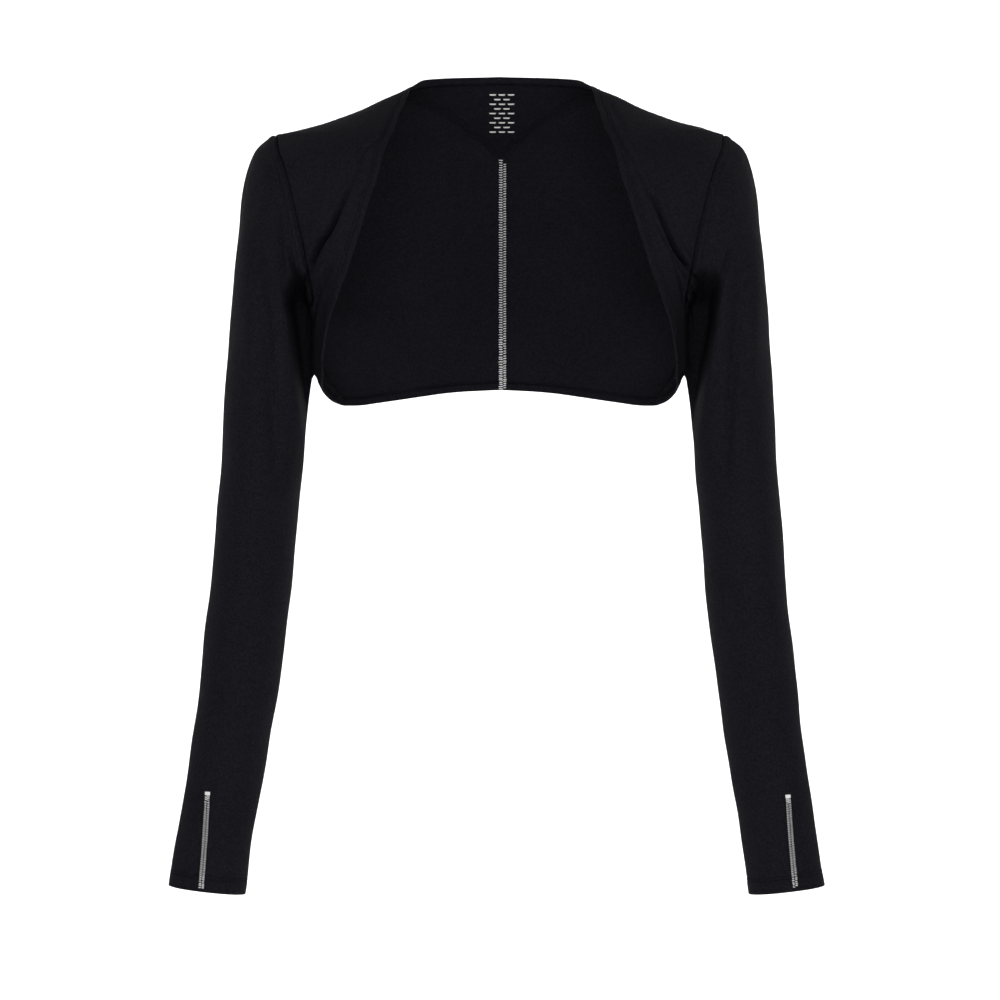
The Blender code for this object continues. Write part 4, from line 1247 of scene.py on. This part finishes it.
# The plain print inside the back neck, in millimetres as seen: rows of short bars, laid like bricks
PRINT_X, PRINT_Z = 2.0, 18.0
PRINT_BAR, PRINT_HEIGHT = 5.6, 2.2
PRINT_GAP = 2.1
PRINT_ROW = 3.9
PRINT_ROWS = 9
share = np.array([-1.0, -0.97, -0.90, -0.75, -0.4, 0.0, 0.4, 0.75, 0.90, 0.97, 1.0])
swell = np.clip((1 - np.abs(share)) * PRINT_BAR / PRINT_HEIGHT, 0, 1)
swell = np.sqrt(np.clip(1 - (1 - swell) ** 2, 0.0004, 1))
stations = []
for row in range(PRINT_ROWS):
    z = PRINT_Z + ((PRINT_ROWS - 1) / 2 - row) * PRINT_ROW
    count = 3 - row % 2
    for number in range(count):
        x = PRINT_X + (number - (count - 1) / 2) * (PRINT_BAR + PRINT_GAP)
        stations.append(np.stack([x + share * PRINT_BAR / 2, np.full(len(share), z)], axis=1))
found, _ = cast_seen(np.concatenate(stations), Skin(pieces["back_neck_facing"]))
found = found.reshape(len(stations), -1, 3)
ups = np.broadcast_to(-BACKWARD, found.shape)
lay("neck_print", "white_print", found + ups * 0.02 * MM, ups, swell * PRINT_HEIGHT / 2 * MM, flat=0.07)

# Cut sizes of what shows, in metres
Cut = namedtuple("Cut", "width length area")

# The room, the lights and the view


def room():
    """A pale floor that sweeps up into a backdrop."""
    floor_z, near_y, turn_y, radius, top_z, half_width = -0.86, -6.5, 3.2, 1.6, 5.0, 6.0
    profile = [(near_y, floor_z), (turn_y, floor_z)]
    for turn in math.pi / 2 * even(12)[1:]:
        profile.append((turn_y + radius * math.sin(turn), floor_z + radius * (1 - math.cos(turn))))
    profile.append((turn_y + radius, top_z))
    points = np.array([(x, y, z) for y, z in profile for x in (-half_width, half_width)])
    faces = [(2 * i, 2 * i + 1, 2 * i + 3, 2 * i + 2) for i in range(len(profile) - 1)]
    sweep = make_mesh("backdrop", points, faces)
    graph = Graph("backdrop")
    graph.feed(graph.shader, {"Base Color": (0.93, 0.93, 0.93, 1.0), "Roughness": 0.9})
    sweep.data.materials.append(graph.material)


# Each lamp is aimed at the middle plane, at (0, aim_y, aim_z).
Lamp = namedtuple("Lamp", "name x y z width height aim_y aim_z power")
LAMPS = (
    Lamp("front", 0.0, -4.6, 0.25, 2.6, 2.0, 0.0, -0.25, 66.0),
    Lamp("front_left", -3.0, -3.2, 0.9, 1.8, 1.8, 0.0, -0.28, 14.0),
    Lamp("front_right", 3.0, -3.2, 0.7, 1.8, 1.8, 0.0, -0.28, 17.0),
    Lamp("backdrop_left", -2.6, 2.4, 1.6, 1.6, 1.6, 4.6, -0.6, 120.0),
    Lamp("backdrop_right", 2.6, 2.4, 1.6, 1.6, 1.6, 4.6, -0.6, 120.0),
)


def light_up():
    for lamp in LAMPS:
        aim = Vector((0.0, lamp.aim_y, lamp.aim_z))
        data = bpy.data.lights.new(lamp.name, "AREA")
        data.shape = "RECTANGLE"
        data.size = lamp.width
        data.size_y = lamp.height
        data.energy = lamp.power
        light = bpy.data.objects.new(lamp.name, data)
        light.location = (lamp.x, lamp.y, lamp.z)
        light.rotation_euler = (aim - light.location).to_track_quat("-Z", "Y").to_euler()
        bpy.context.scene.collection.objects.link(light)
    world = bpy.data.worlds.new("studio")
    world.use_nodes = True
    background = world.node_tree.nodes["Background"]
    background.inputs["Color"].default_value = (1.0, 1.0, 1.0, 1.0)
    background.inputs["Strength"].default_value = 0.30
    bpy.context.scene.world = world
    bpy.context.scene.view_settings.view_transform = "Standard"


def stand_camera():
    data = bpy.data.cameras.new("camera")
    data.sensor_width = SENSOR
    data.lens = SENSOR * -EYE[1] / FRAME_WIDTH
    data.clip_end = 50.0
    camera = bpy.data.objects.new("camera", data)
    camera.location = EYE
    camera.rotation_euler = (math.pi / 2, 0, 0)
    bpy.context.scene.collection.objects.link(camera)
    bpy.context.scene.camera = camera


room()
light_up()
stand_camera()
